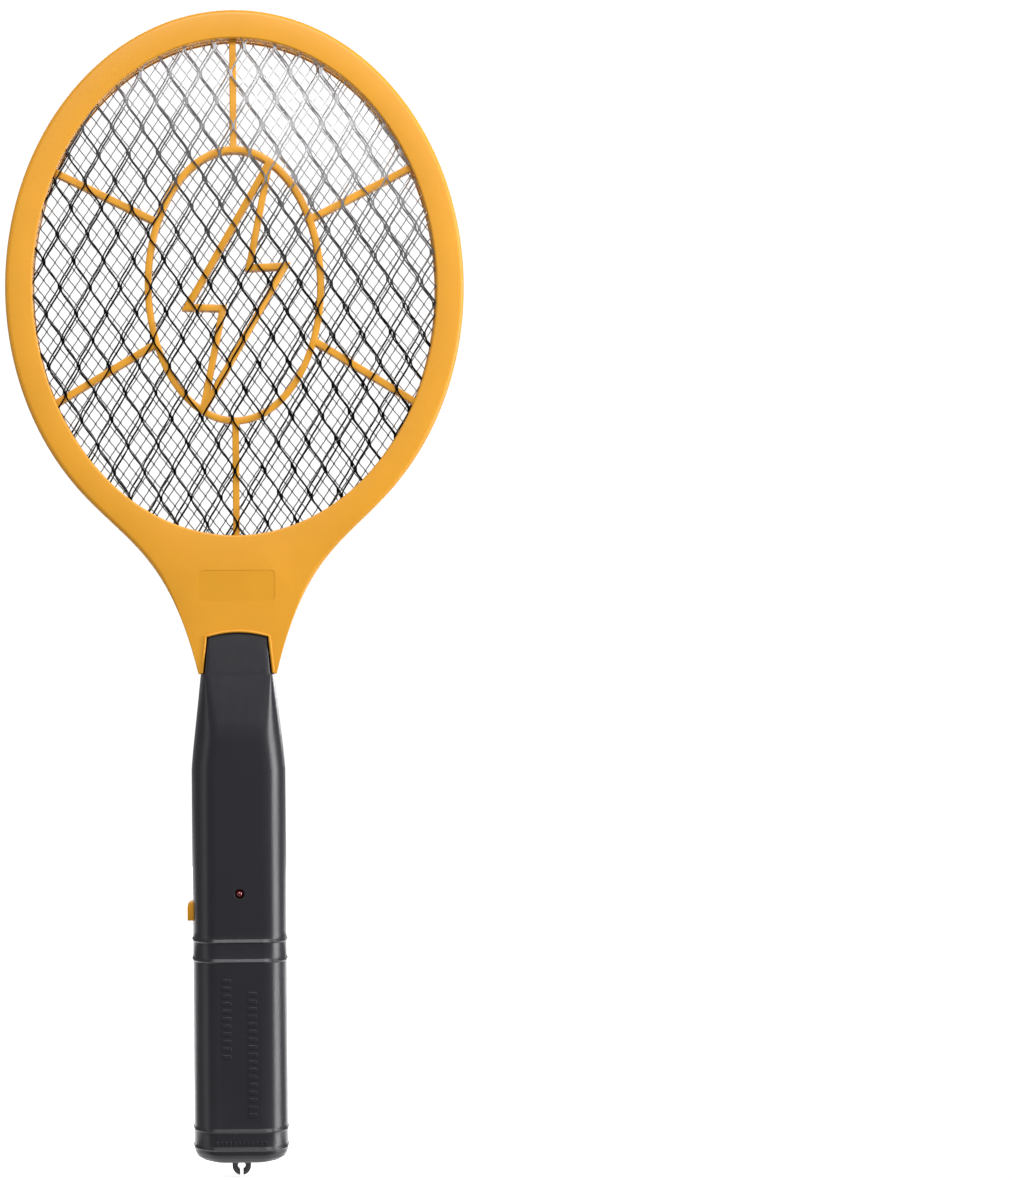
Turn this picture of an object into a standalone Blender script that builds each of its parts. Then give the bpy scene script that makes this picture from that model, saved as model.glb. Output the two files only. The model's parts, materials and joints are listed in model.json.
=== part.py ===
"""Electric fly swatter: a racket with three nets on a two-cell handle.

Frame: metres, +Z from the hang lug up the handle to the head, front face
towards -Y, +X to the right of a person who looks at the front. The origin is
at the foot of the hang lug, in the middle of the width and of the depth.
"""
import math

import bmesh
import bpy
import numpy as np
from mathutils import Vector

# ---------------------------------------------------------------- dimensions
GAP = 0.0003                 # between pieces that touch on the real object
WALL = 0.002                 # moulded walls
OVERSHOOT = 0.002            # how far a cutter runs past the wall it cuts

# Head: two ring-shaped shells that clamp the nets and the rib frames.
HEAD_CENTRE = (0.0, 0.3432)
HEAD_HALF_WIDTH = 0.0885
HEAD_HALF_HEIGHT = 0.1068
HEAD_HALF_DEPTH = 0.0065
OPENING_HALF_WIDTH = 0.0779
OPENING_HALF_HEIGHT = 0.0958
FLANGE = 0.0016              # the shell's face wall, over the nets' edges
RIM_BEVEL = 0.0007           # sloped band round the opening
EDGE_CHAMFER = 0.0005
CLAMPED_EDGE = 0.0036        # how far nets and frames reach under the flange
FLARE_CURVE = ((0.0612, 0.2660), (0.0428, 0.2448), (0.0263, 0.2407), (0.0151, 0.1940))
FLARE_START_ANGLE = 2.3786   # from the top of the head, where the flare begins
NOTCH_TIP_HALF_WIDTH = 0.0139
NOTCH_TOP_HALF_WIDTH = 0.0124
NOTCH_CORNER_Z = 0.2086
NOTCH_ARCH_RISE = 0.0020
NECK_CAVITY_FLOOR_Z = 0.2135
TANG_HALF_WIDTH = 0.0070     # flat tang that the handle's shells clamp
TANG_DEPTH = 0.0020
TANG_FOOT_Z = 0.1580
LEAD_SLOT_X = 0.0085
LEAD_SLOT_HALF_WIDTH = 0.0010

# Nets and rib frames, front to back: net, ribs, net, ribs, net.
NET_THICKNESS = 0.0006
OUTER_NET_CELL = (0.0116, 0.0205)
OUTER_NET_STRAND = 0.0006
OUTER_NET_TILT = math.radians(2.0)
OUTER_NET_COARSENING = 2.0   # the real net has this many diamonds to each one here
MIDDLE_NET_CELL = (0.0048, 0.00665)
MIDDLE_NET_STRAND = 0.0006
MIDDLE_NET_TILT = math.radians(3.4)
MIDDLE_NET_COARSENING = 5.0
RIB_WIDTH = 0.0026
RIB_OVAL = (0.0334, 0.0524)  # half width and half height of the oval's middle line
RIB_OVAL_CENTRE_Z = 0.3442
SPOKES = (((0.0, 0.0958), (0.0, 0.0520)), ((0.0668, 0.0440), (0.0313, 0.0262)),
          ((0.0688, -0.0453), (0.0310, -0.0220)), ((0.0, -0.0958), (0.0, -0.0520)),
          ((-0.0683, -0.0446), (-0.0322, -0.0234)), ((-0.0691, 0.0442), (-0.0318, 0.0256)))
BOLT = ((0.0139, 0.3917), (-0.0184, 0.3357), (-0.0045, 0.3353),
        (-0.0126, 0.2956), (0.0196, 0.3514), (0.0057, 0.3508))

# Handle: an eight-sided section, given by stations along Z as
# (z, half width at the side, half width of the flat face, face depth, corner depth).
HANDLE_FOOT_Z = 0.0066
HANDLE_STATIONS = (
    (0.0066, 0.0129, 0.0087, 0.0107, 0.0066),
    (0.0072, 0.0155, 0.0101, 0.0114, 0.0073),
    (0.0084, 0.0173, 0.0111, 0.0123, 0.0079),
    (0.0101, 0.01815, 0.0114, 0.0130, 0.0082),
    (0.1570, 0.01815, 0.0114, 0.0130, 0.0082),
    (0.1643, 0.01755, 0.0107, 0.0130, 0.0082),
    (0.1712, 0.01675, 0.0100, 0.0130, 0.0080),
    (0.1828, 0.01545, 0.0114, 0.0108, 0.0074),
    (0.1937, 0.0143, 0.0127, 0.0087, 0.0070),
    (0.1944, 0.0135, 0.0124, 0.0086, 0.0069),
    (0.2120, 0.0118, 0.0110, 0.0053, 0.0048))
CORNER_INSET = 0.0008        # the side wall leans in by this much at its corner
TONGUE_CORNER_Z = 0.2083
TONGUE_HALF_WIDTH = 0.0121
TONGUE_ARCH_RISE = 0.0020
BEAD_HEIGHTS = (0.01215, 0.0191, 0.0842, 0.0917)
BEAD_HALF_WIDTH = 0.0008
BEAD_PROUD = 0.00045
LUG_RADIUS = 0.0036
LUG_HOLE_RADIUS = 0.0015
LUG_SLOT = 0.0012
LUG_HALF_THICKNESS = 0.0015
LUG_ROOT_TOP_Z = 0.0079

# Battery compartment in the rear shell, and its door.
DOOR_OPENING = (0.0210, 0.0800)
DOOR_OPENING_HALF_WIDTH = 0.0164
DOOR_WALL = 0.0018
CELL_RADIUS = 0.00725
CELL_BODY_LENGTH = 0.0495
CELL_NUB = (0.00275, 0.0010)
CELL_X = 0.0075
CELL_Y = 0.0035
COMPARTMENT = (0.0215, 0.0799)
PLATE_THICKNESS = 0.0004
SPRING_WIRE_RADIUS = 0.00035
SPRING_COIL_RADIUS = 0.0032
SPRING_TURNS = 3.5

# Electronics.
BOARD_HALF_WIDTH = 0.0120
BOARD_Z = (0.0950, 0.1510)
BOARD_Y = (-0.0035, -0.0025)
BUTTON_Z = 0.1023
BUTTON_HALF_HEIGHT = 0.00365
BUTTON_HALF_DEPTH = 0.0035
BUTTON_TIP_X = -0.02025
BUTTON_TRAVEL = 0.0012
BUTTON_CAP_INNER_X = -0.0158
BUTTON_FLANGE_INNER_X = -0.0147
BUTTON_FLANGE_HEIGHT = 0.0014
BUTTON_STEM_END_X = -0.0133
BUTTON_STEM_HALF_HEIGHT = 0.0018
BUTTON_SLOPE = 0.0014
SWITCH_X = (-0.0112, -0.0052)
SWITCH_REAR_Y = 0.0022
SWITCH_HALF_HEIGHT = 0.0031
PLUNGER_END_X = -0.0094
PLUNGER_RADIUS = 0.0014
LED_Z = 0.1099
LED_RADIUS = 0.00135
LED_TIP_Y = -0.0133
LED_COLLAR_Y = (-0.0095, -0.0088)
LED_LEG_X = 0.0007
LED_LEG_HALF_WIDTH = 0.00025
WIRE_RADIUS = 0.0006

# Parts on the board: places are (x, z), sizes are (width, height, depth).
BOARD_CORNER = 0.0015
TRANSFORMER_PLACE = (0.0030, 0.1215)
TRANSFORMER_HALF_SIZE = (0.0068, 0.0075)
TRANSFORMER_LEG = 0.0022
TRANSFORMER_CORE_DEPTH = (0.0015, 0.0065)
WINDING_DEPTH = 0.0080
HIGH_VOLTAGE_CAPACITOR = ((0.0020, 0.1375), (0.0130, 0.0100, 0.0058))
TRANSISTOR = ((0.0088, 0.1020), (0.0042, 0.0046, 0.0046))
MULTIPLIER_X = (-0.0060, 0.0010, 0.0080)
MULTIPLIER_Z = 0.1468
MULTIPLIER_RISE = 0.0030
MULTIPLIER_PROFILE = ((0.0012, -0.0011), (0.0026, -0.0007), (0.0026, 0.0007), (0.0012, 0.0011))
LYING_X = -0.0085
DIODE = (0.0012, 0.0040)         # radius, length
RESISTOR = (0.0011, 0.0060)
LYING_PARTS = (("rectifier_diode_1", 0.1335, DIODE, "component_black"),
               ("rectifier_diode_2", 0.1400, DIODE, "component_black"),
               ("bleed_resistor", 0.1240, RESISTOR, "resistor_body"),
               ("base_resistor", 0.1145, RESISTOR, "resistor_body"))

# Screws: all of one kind.
SCREW_SHANK_RADIUS = 0.0009
SCREW_HEAD_RADIUS = 0.0018
SCREW_HEAD_HEIGHT = 0.0013
SCREW_LENGTH = 0.0090
POST_RADIUS = 0.0026
POST_HOLE_RADIUS = 0.0012
SCREW_RECESS_RADIUS = 0.0021
HEAD_SCREW_RING = (0.0844, 0.1026)
HEAD_SCREW_ANGLES = (0, 58, 118, 242, 302)
NECK_SCREW_SPOTS = ((-0.0110, 0.2260), (0.0110, 0.2260))
HANDLE_SCREW_HEIGHTS = (0.0145, 0.0872, 0.1640)

RING_SEGMENTS = 30           # along half of the head's elliptical part
FLARE_SEGMENTS = 10
ROUND_SEGMENTS = 16

# Materials: colour, roughness, metallic.
MATERIALS = {
    "orange_plastic": ((0.838, 0.371, 0.041), 0.42, 0.0),
    "black_plastic": ((0.040, 0.040, 0.045), 0.45, 0.0),
    "net_metal": ((0.42, 0.42, 0.43), 0.30, 1.0),
    "steel": ((0.55, 0.55, 0.56), 0.30, 1.0),
    "red_lens": ((0.60, 0.02, 0.03), 0.10, 0.0),
    "board": ((0.62, 0.47, 0.22), 0.60, 0.0),
    "ferrite": ((0.05, 0.05, 0.055), 0.55, 0.0),
    "winding_tape": ((0.75, 0.55, 0.08), 0.45, 0.0),
    "film_capacitor": ((0.45, 0.07, 0.03), 0.35, 0.0),
    "disc_capacitor": ((0.07, 0.20, 0.55), 0.45, 0.0),
    "component_black": ((0.03, 0.03, 0.03), 0.45, 0.0),
    "resistor_body": ((0.50, 0.62, 0.70), 0.45, 0.0),
    "cell_sleeve": ((0.06, 0.22, 0.12), 0.35, 0.0),
    "red_wire": ((0.65, 0.03, 0.03), 0.45, 0.0),
    "black_wire": ((0.03, 0.03, 0.03), 0.45, 0.0),
}


# ------------------------------------------------------------------- helpers
def clear_scene():
    for obj in list(bpy.data.objects):
        bpy.data.objects.remove(obj, do_unlink=True)


def make_material(name):
    colour, roughness, metallic = MATERIALS[name]
    material = bpy.data.materials.get(name)
    if material is None:
        material = bpy.data.materials.new(name)
        material.use_nodes = True
        shader = material.node_tree.nodes["Principled BSDF"]
        shader.inputs["Base Color"].default_value = (*colour, 1.0)
        shader.inputs["Roughness"].default_value = roughness
        shader.inputs["Metallic"].default_value = metallic
    return material


def link(name, data, material_name):
    obj = bpy.data.objects.new(name, data)
    if material_name:
        data.materials.append(make_material(material_name))
    bpy.context.collection.objects.link(obj)
    return obj


def finish_mesh(name, bm, material_name):
    """Turn a bmesh into an object with outward faces and smooth round sides."""
    bmesh.ops.recalc_face_normals(bm, faces=bm.faces[:])
    mesh = bpy.data.meshes.new(name)
    bm.to_mesh(mesh)
    bm.free()
    mesh.shade_smooth()
    mesh.set_sharp_from_angle(angle=math.radians(30))
    return link(name, mesh, material_name)


def loft(name, sections, material_name):
    """Skin a row of equal loops and cap both ends."""
    bm = bmesh.new()
    rings = [[bm.verts.new(point) for point in section] for section in sections]
    count = len(rings[0])
    for low, high in zip(rings, rings[1:]):
        for i in range(count):
            j = (i + 1) % count
            bm.faces.new((low[i], low[j], high[j], high[i]))
    bm.faces.new(rings[0][::-1])
    bm.faces.new(rings[-1])
    return finish_mesh(name, bm, material_name)


def plate(name, outline, span, material_name, holes=(), axis="Y"):
    """A flat outline with holes, extruded along an axis between two levels."""
    order = {"X": (2, 0, 1), "Y": (0, 2, 1), "Z": (0, 1, 2)}[axis]

    def place(point, level):
        values = (point[0], point[1], level)
        return Vector([values[order.index(k)] for k in range(3)])

    bm = bmesh.new()
    edges = []
    for loop in (outline, *holes):
        verts = [bm.verts.new(place(point, span[0])) for point in loop]
        edges += [bm.edges.new((verts[i - 1], verts[i])) for i in range(len(verts))]
    bmesh.ops.triangle_fill(bm, edges=edges, use_beauty=True)
    grown = bmesh.ops.extrude_face_region(bm, geom=bm.faces[:])
    lifted = [item for item in grown["geom"] if isinstance(item, bmesh.types.BMVert)]
    shift = place((0, 0), span[1]) - place((0, 0), span[0])
    bmesh.ops.translate(bm, verts=lifted, vec=shift)
    return finish_mesh(name, bm, material_name)


def box(name, low, high, material_name=None):
    outline = [(low[0], low[1]), (high[0], low[1]), (high[0], high[1]), (low[0], high[1])]
    return plate(name, outline, (low[2], high[2]), material_name, axis="Z")


def turned(name, profile, material_name, origin=(0, 0, 0), axis="Z", sides=ROUND_SEGMENTS):
    """Turn (radius, height) pairs about an axis through the origin given."""
    sections = []
    for radius, height in profile:
        ring = []
        for k in range(sides):
            angle = 2 * math.pi * k / sides
            u, v = radius * math.cos(angle), radius * math.sin(angle)
            local = {"X": (height, u, v), "Y": (u, height, v), "Z": (u, v, height)}[axis]
            ring.append([a + b for a, b in zip(local, origin)])
        sections.append(ring)
    return loft(name, sections, material_name)


def tube(name, points, radius, material_name, resolution=2):
    """A wire: a bevelled curve with filled ends."""
    curve = bpy.data.curves.new(name, "CURVE")
    curve.dimensions = "3D"
    curve.bevel_depth = radius
    curve.bevel_resolution = resolution
    curve.use_fill_caps = True
    spline = curve.splines.new("POLY")
    spline.points.add(len(points) - 1)
    for target, point in zip(spline.points, points):
        target.co = (*point, 1.0)
    return link(name, curve, material_name)


def smooth_route(knots, spacing):
    """Points at an even spacing on a Catmull-Rom curve through the knots."""
    knots = np.array([knots[0], *knots, knots[-1]], float)
    dense = []
    for a, b, c, d in zip(knots, knots[1:], knots[2:], knots[3:]):
        for t in np.linspace(0, 1, 16, endpoint=False):
            dense.append(0.5 * (2 * b + (c - a) * t + (2 * a - 5 * b + 4 * c - d) * t ** 2
                                + (3 * b - a - 3 * c + d) * t ** 3))
    dense.append(knots[-1])
    dense = np.array(dense)
    along = np.concatenate([[0], np.cumsum(np.linalg.norm(np.diff(dense, axis=0), axis=1))])
    stops = np.linspace(0, along[-1], max(2, round(along[-1] / spacing) + 1))
    return np.stack([np.interp(stops, along, dense[:, k]) for k in range(3)], axis=1)


def join(name, objects):
    """Gather cutters in one object, so that one Boolean serves them all."""
    bm = bmesh.new()
    for obj in objects:
        bm.from_mesh(obj.data)
        bpy.data.objects.remove(obj, do_unlink=True)
    return finish_mesh(name, bm, None)


def boolean(obj, tool, operation):
    modifier = obj.modifiers.new(operation.lower(), "BOOLEAN")
    modifier.operation = operation
    modifier.solver = "EXACT"
    modifier.object = tool
    tool.hide_render = True
    tool.display_type = "WIRE"


# ------------------------------------------------------------- flat outlines
def inset(loop, distance):
    """Move each side of a closed outline inwards; corners keep their mitre."""
    points = np.array(loop, float)
    following = np.roll(points, -1, axis=0)
    area = np.sum(points[:, 0] * following[:, 1] - following[:, 0] * points[:, 1])
    sides = following - points
    sides /= np.linalg.norm(sides, axis=1)[:, None]
    normals = np.stack([-sides[:, 1], sides[:, 0]], axis=1) * np.sign(area)
    before = np.roll(normals, 1, axis=0)
    mitre = before + normals
    scale = 2 / np.sum(mitre * mitre, axis=1)
    return points + distance * mitre * scale[:, None]


def ellipse(half_width, half_height, centre=HEAD_CENTRE, count=72):
    angles = [2 * math.pi * k / count for k in range(count)]
    return [(centre[0] + half_width * math.sin(a), centre[1] + half_height * math.cos(a))
            for a in angles]


def bezier(control, t):
    p0, p1, p2, p3 = (np.array(p) for p in control)
    s = 1 - t
    return p0 * s ** 3 + 3 * p1 * s * s * t + 3 * p2 * s * t * t + p3 * t ** 3


def mirrored(half):
    """Close a right-hand half outline, from top centre to bottom centre."""
    left = [(-x, z) for x, z in half[-2:0:-1]]
    return [tuple(point) for point in half] + left


def arch(half_width, corner_z, rise, steps=3):
    """Points of a shallow arch, from its right corner to the middle."""
    stops = [half_width * (1 - k / steps) for k in range(steps + 1)]
    return [(x, corner_z + rise * (1 - (x / half_width) ** 2)) for x in stops]


def head_outline():
    """Outer edge of the head: ellipse, flare, prongs and the notch between them."""
    half = []
    for k in range(RING_SEGMENTS):
        angle = FLARE_START_ANGLE * k / RING_SEGMENTS
        half.append((HEAD_HALF_WIDTH * math.sin(angle),
                     HEAD_CENTRE[1] + HEAD_HALF_HEIGHT * math.cos(angle)))
    half += [tuple(bezier(FLARE_CURVE, k / FLARE_SEGMENTS)) for k in range(FLARE_SEGMENTS + 1)]
    half.append((NOTCH_TIP_HALF_WIDTH, FLARE_CURVE[-1][1]))
    half += arch(NOTCH_TOP_HALF_WIDTH, NOTCH_CORNER_Z, NOTCH_ARCH_RISE)
    return mirrored(half)


def cavity_outline():
    """The shell's inner wall: the outline less a wall, with a floor above the notch."""
    half = []
    for x, z in inset(head_outline(), WALL):
        if x < 0 or z < NECK_CAVITY_FLOOR_Z + WALL:
            break
        half.append((x, z))
    floor_x = half[-1][0] - WALL
    return mirrored(half + [(floor_x, NECK_CAVITY_FLOOR_Z), (0.0, NECK_CAVITY_FLOOR_Z)])


# ---------------------------------------------------------------------- head
def head_screw_spots():
    spots = []
    for degrees in HEAD_SCREW_ANGLES:
        angle = math.radians(degrees)
        spots.append((HEAD_SCREW_RING[0] * math.sin(angle),
                      HEAD_CENTRE[1] + HEAD_SCREW_RING[1] * math.cos(angle)))
    return spots + list(NECK_SCREW_SPOTS)


def y_turned(name, spots, profile, sides=12):
    """One turned shape along Y at each (x, z) spot, joined in one tool."""
    made = [turned(f"{name}_{i}", profile, None, (x, 0, z), "Y", sides)
            for i, (x, z) in enumerate(spots)]
    return join(name, made)


def y_cylinders(name, spots, radius, span, sides=12):
    return y_turned(name, spots, ((radius, min(span)), (radius, max(span))), sides)


def screw_holes(name, spots, head_y, outside_y):
    """Clearance holes from the parting plane, with a recess for each screw's head."""
    profile = ((POST_HOLE_RADIUS, -OVERSHOOT), (POST_HOLE_RADIUS, head_y - GAP),
               (SCREW_RECESS_RADIUS, head_y - GAP), (SCREW_RECESS_RADIUS, outside_y + OVERSHOOT))
    return y_turned(name, spots, profile)


def wall(bm, side, *levels):
    """Skin equal outlines at rising depths; returns the first and last loops' edges."""
    rings = [[bm.verts.new((x, side * y, z)) for x, z in loop] for loop, y in levels]
    count = len(rings[0])
    for low, high in zip(rings, rings[1:]):
        for i in range(count):
            bm.faces.new((low[i - 1], low[i], high[i], high[i - 1]))
    return [[bm.edges.get((ring[i - 1], ring[i])) for i in range(count)]
            for ring in (rings[0], rings[-1])]


def build_head_shell(name, side):
    """One shell of the head; side is -1 for the front one and 1 for the rear one."""
    parting = GAP / 2
    face = HEAD_HALF_DEPTH
    inner = HEAD_HALF_DEPTH - FLANGE
    outline = head_outline()
    cavity = cavity_outline()
    opening = ellipse(OPENING_HALF_WIDTH, OPENING_HALF_HEIGHT)
    bevel = ellipse(OPENING_HALF_WIDTH + RIM_BEVEL, OPENING_HALF_HEIGHT + RIM_BEVEL)
    bm = bmesh.new()
    outside = wall(bm, side, (outline, parting), (outline, face - EDGE_CHAMFER),
                   (inset(outline, EDGE_CHAMFER), face))
    rim = wall(bm, side, (bevel, face), (opening, inner + FLANGE / 2), (opening, inner))
    inside = wall(bm, side, (cavity, inner), (cavity, parting))
    for first, second in ((outside[1], rim[0]), (rim[1], inside[0]), (inside[1], outside[0])):
        bmesh.ops.triangle_fill(bm, edges=first + second, use_beauty=True)
    shell = finish_mesh(name, bm, "orange_plastic")

    spots = head_screw_spots()
    tang = box(f"{name}_tang", (-TANG_HALF_WIDTH, min(side * parting, side * TANG_DEPTH), TANG_FOOT_Z),
               (TANG_HALF_WIDTH, max(side * parting, side * TANG_DEPTH), NECK_CAVITY_FLOOR_Z - GAP))
    posts = y_cylinders(f"{name}_posts", spots, POST_RADIUS,
                        (side * parting, side * (inner + FLANGE / 2)))
    boolean(shell, join(f"{name}_added", [posts, tang]), "UNION")

    if side < 0:
        holes = y_cylinders(f"{name}_holes", spots, POST_HOLE_RADIUS, (OVERSHOOT, -inner))
    else:
        holes = screw_holes(f"{name}_holes", spots, inner, face)
    cutters = [holes, y_cylinders(f"{name}_tang_hole", [(0, HANDLE_SCREW_HEIGHTS[-1])],
                                  POST_RADIUS + GAP, (-side * OVERSHOOT, side * 2 * TANG_DEPTH))]
    for sign in (-1, 1):
        x = sign * LEAD_SLOT_X
        cutters.append(box(f"{name}_lead_slot", (x - LEAD_SLOT_HALF_WIDTH, -TANG_DEPTH, NOTCH_CORNER_Z),
                           (x + LEAD_SLOT_HALF_WIDTH, TANG_DEPTH, NECK_CAVITY_FLOOR_Z + OVERSHOOT)))
    for i, cutter in enumerate(cutters):
        cutter.name = f"{name}_cutter_{i}"
        boolean(shell, cutter, "DIFFERENCE")


def clip_convex(polygon, clip):
    """Sutherland-Hodgman: the part of a polygon inside a clockwise convex outline."""
    result = [np.array(p, float) for p in polygon]
    clip = [np.array(p, float) for p in clip]
    for start, end in zip(clip, clip[1:] + clip[:1]):
        side = end - start
        kept = []
        for a, b in zip(result, result[1:] + result[:1]):
            side_a = side[1] * (a[0] - start[0]) - side[0] * (a[1] - start[1])
            side_b = side[1] * (b[0] - start[0]) - side[0] * (b[1] - start[1])
            if side_a >= 0:
                kept.append(a)
            if side_a * side_b < 0:
                kept.append(a + (b - a) * side_a / (side_a - side_b))
        result = kept
        if not result:
            break
    return result


def polygon_area(polygon):
    points = np.array(polygon)
    after = np.roll(points, -1, axis=0)
    return abs(np.sum(points[:, 0] * after[:, 1] - after[:, 0] * points[:, 1])) / 2


def build_net(name, y, cell, strand, tilt, coarsening):
    """A flat net of diamond openings, with a narrow rim under the flange."""
    width, height = cell[0] * coarsening, cell[1] * coarsening
    rim = (OPENING_HALF_WIDTH + CLAMPED_EDGE, OPENING_HALF_HEIGHT + CLAMPED_EDGE)
    mesh_edge = ellipse(rim[0] - CLAMPED_EDGE / 2, rim[1] - CLAMPED_EDGE / 2, count=48)
    turn = np.array([[math.cos(tilt), -math.sin(tilt)], [math.sin(tilt), math.cos(tilt)]])
    diamond = inset([(width / 2, 0), (0, height / 2), (-width / 2, 0), (0, -height / 2)], strand / 2)
    smallest = 0.12 * polygon_area(diamond)
    holes = []
    rows = math.ceil(2 * rim[1] / height) + 1
    columns = math.ceil(2 * rim[0] / width) + 1
    for row in range(-2 * rows, 2 * rows + 1):
        for column in range(-columns, columns + 1):
            middle = np.array([(column + 0.5 * (row % 2)) * width, 0.5 * row * height])
            spot = turn @ middle + np.array(HEAD_CENTRE)
            hole = clip_convex([turn @ p + spot for p in diamond], mesh_edge)
            if len(hole) > 2 and polygon_area(hole) > smallest:
                holes.append([p for p, q in zip(hole, hole[1:] + hole[:1])
                              if np.linalg.norm(p - q) > 2e-4])
    span = (y - NET_THICKNESS / 2, y + NET_THICKNESS / 2)
    plate(name, ellipse(*rim, count=48), span, "net_metal", holes)


def line_on_oval(point, direction, half_width, half_height, centre, sign):
    """Where a line meets an ellipse; sign picks the far (1) or near (-1) crossing."""
    px, pz = (point[0] - centre[0]) / half_width, (point[1] - centre[1]) / half_height
    dx, dz = direction[0] / half_width, direction[1] / half_height
    a, b, c = dx * dx + dz * dz, px * dx + pz * dz, px * px + pz * pz - 1
    reach = (-b + sign * math.sqrt(b * b - a * c)) / a
    return (point[0] + reach * direction[0], point[1] + reach * direction[1])


def oval_arc(start, end, half_width, half_height, centre, step=math.radians(9)):
    """Points on an ellipse between two of its points, clockwise from the first."""
    angles = [math.atan2((p[0] - centre[0]) / half_width, (p[1] - centre[1]) / half_height)
              for p in (start, end)]
    sweep = (angles[1] - angles[0]) % (2 * math.pi)
    count = max(2, round(sweep / step))
    return [(centre[0] + half_width * math.sin(angles[0] + sweep * k / count),
             centre[1] + half_height * math.cos(angles[0] + sweep * k / count))
            for k in range(count + 1)]


def spoke_sectors():
    """Openings between the rim, two neighbouring spokes and the oval."""
    half = RIB_WIDTH / 2
    rim = (OPENING_HALF_WIDTH + GAP, OPENING_HALF_HEIGHT + GAP)
    oval = (RIB_OVAL[0] + half, RIB_OVAL[1] + half)
    oval_centre = (0.0, RIB_OVAL_CENTRE_Z)
    sectors = []
    for spoke, following in zip(SPOKES, SPOKES[1:] + SPOKES[:1]):
        corners = []
        for (outer, inner), turn in ((spoke, 1), (following, -1)):
            outer = np.array(outer) + (0, RIB_OVAL_CENTRE_Z)
            inner = np.array(inner) + (0, RIB_OVAL_CENTRE_Z)
            along = (outer - inner) / np.linalg.norm(outer - inner)
            side = turn * half * np.array([along[1], -along[0]])
            corners.append(line_on_oval(inner + side, along, *rim, HEAD_CENTRE, 1))
            corners.append(line_on_oval(inner + side, along, *oval, oval_centre, 1))
        rim_arc = oval_arc(corners[0], corners[2], *rim, HEAD_CENTRE)
        sectors.append(rim_arc + oval_arc(corners[1], corners[3], *oval, oval_centre)[::-1])
    return sectors


def bolt_openings():
    """Openings inside the oval: left of the bolt, right of it, and the bolt's own."""
    half = RIB_WIDTH / 2
    oval = (RIB_OVAL[0] - half, RIB_OVAL[1] - half)
    oval_centre = (0.0, RIB_OVAL_CENTRE_Z)
    outer = [tuple(p) for p in inset(BOLT, -half)]
    top, left_knee, left_heel, bottom, right_knee, right_heel = outer
    openings = []
    for first, knee, heel, last in ((top, left_knee, left_heel, bottom),
                                    (bottom, right_knee, right_heel, top)):
        start = line_on_oval(knee, np.subtract(first, knee), *oval, oval_centre, 1)
        end = line_on_oval(heel, np.subtract(last, heel), *oval, oval_centre, 1)
        arc = oval_arc(end, start, *oval, oval_centre)
        openings.append(arc + [knee, heel])
    openings.append([tuple(p) for p in inset(BOLT, half)])
    return openings


def build_rib_frame(name, span):
    rim = ellipse(OPENING_HALF_WIDTH + CLAMPED_EDGE, OPENING_HALF_HEIGHT + CLAMPED_EDGE, count=60)
    plate(name, rim, span, "orange_plastic", spoke_sectors() + bolt_openings())


def screw(name, x, y_head, z, side=1):
    """A pan-head screw along Y whose head rests at y_head, on the side given."""
    tip = y_head - side * (SCREW_LENGTH - SCREW_HEAD_HEIGHT)
    top = y_head + side * SCREW_HEAD_HEIGHT
    profile = ((0.4 * SCREW_SHANK_RADIUS, tip), (SCREW_SHANK_RADIUS, tip + side * 0.001),
               (SCREW_SHANK_RADIUS, y_head), (SCREW_HEAD_RADIUS, y_head),
               (SCREW_HEAD_RADIUS, top - side * 0.0005), (0.7 * SCREW_HEAD_RADIUS, top))
    turned(name, profile, "steel", (x, 0, z), "Y", 8)


def build_head():
    build_head_shell("head_front_shell", -1)
    build_head_shell("head_rear_shell", 1)
    flange_inner = HEAD_HALF_DEPTH - FLANGE
    net_y = flange_inner - GAP - NET_THICKNESS / 2
    outer_net = (OUTER_NET_CELL, OUTER_NET_STRAND, OUTER_NET_TILT, OUTER_NET_COARSENING)
    build_net("front_net", -net_y, *outer_net)
    build_net("rear_net", net_y, *outer_net)
    build_net("middle_net", 0.0, MIDDLE_NET_CELL, MIDDLE_NET_STRAND, MIDDLE_NET_TILT,
              MIDDLE_NET_COARSENING)
    near = NET_THICKNESS / 2 + GAP
    far = net_y - NET_THICKNESS / 2 - GAP
    build_rib_frame("front_rib_frame", (-far, -near))
    build_rib_frame("rear_rib_frame", (near, far))
    head_y = flange_inner
    for i, (x, z) in enumerate(head_screw_spots()):
        screw(f"head_screw_{i + 1}", x, head_y, z)


# -------------------------------------------------------------------- handle
def stations_with_beads():
    """The handle's stations, with four more for each raised bead."""
    stations = list(HANDLE_STATIONS)
    lower = HANDLE_STATIONS[3]
    for middle in BEAD_HEIGHTS:
        for offset, proud in ((-1, 0), (-0.5, 1), (0.5, 1), (1, 0)):
            rise = proud * BEAD_PROUD
            stations.append((middle + offset * BEAD_HALF_WIDTH, *(v + rise for v in lower[1:])))
    return sorted(stations)


def octagon(side, face, face_depth, corner_depth):
    """Full section, from the right side anticlockwise as seen from above."""
    corner = side - CORNER_INSET
    right_rear = [(side, 0), (corner, corner_depth), (face, face_depth)]
    left_rear = [(-x, y) for x, y in right_rear[::-1]]
    front = [(-x, -y) for x, y in right_rear[1:]] + [(x, -y) for x, y in right_rear[:0:-1]]
    return right_rear + left_rear + front


def half_section(station, side, parting, reduce=0.0):
    """The half of a section on one side of the parting plane, as a closed loop."""
    points = octagon(*station[1:])
    if reduce:
        points = inset(points, reduce)
    half = [(x, y) for x, y in points if side * y > 1e-6]
    half.sort(key=lambda p: -p[0])
    widest = max(x for x, y in points)
    return [(widest, side * parting), *half, (-widest, side * parting)]


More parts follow.
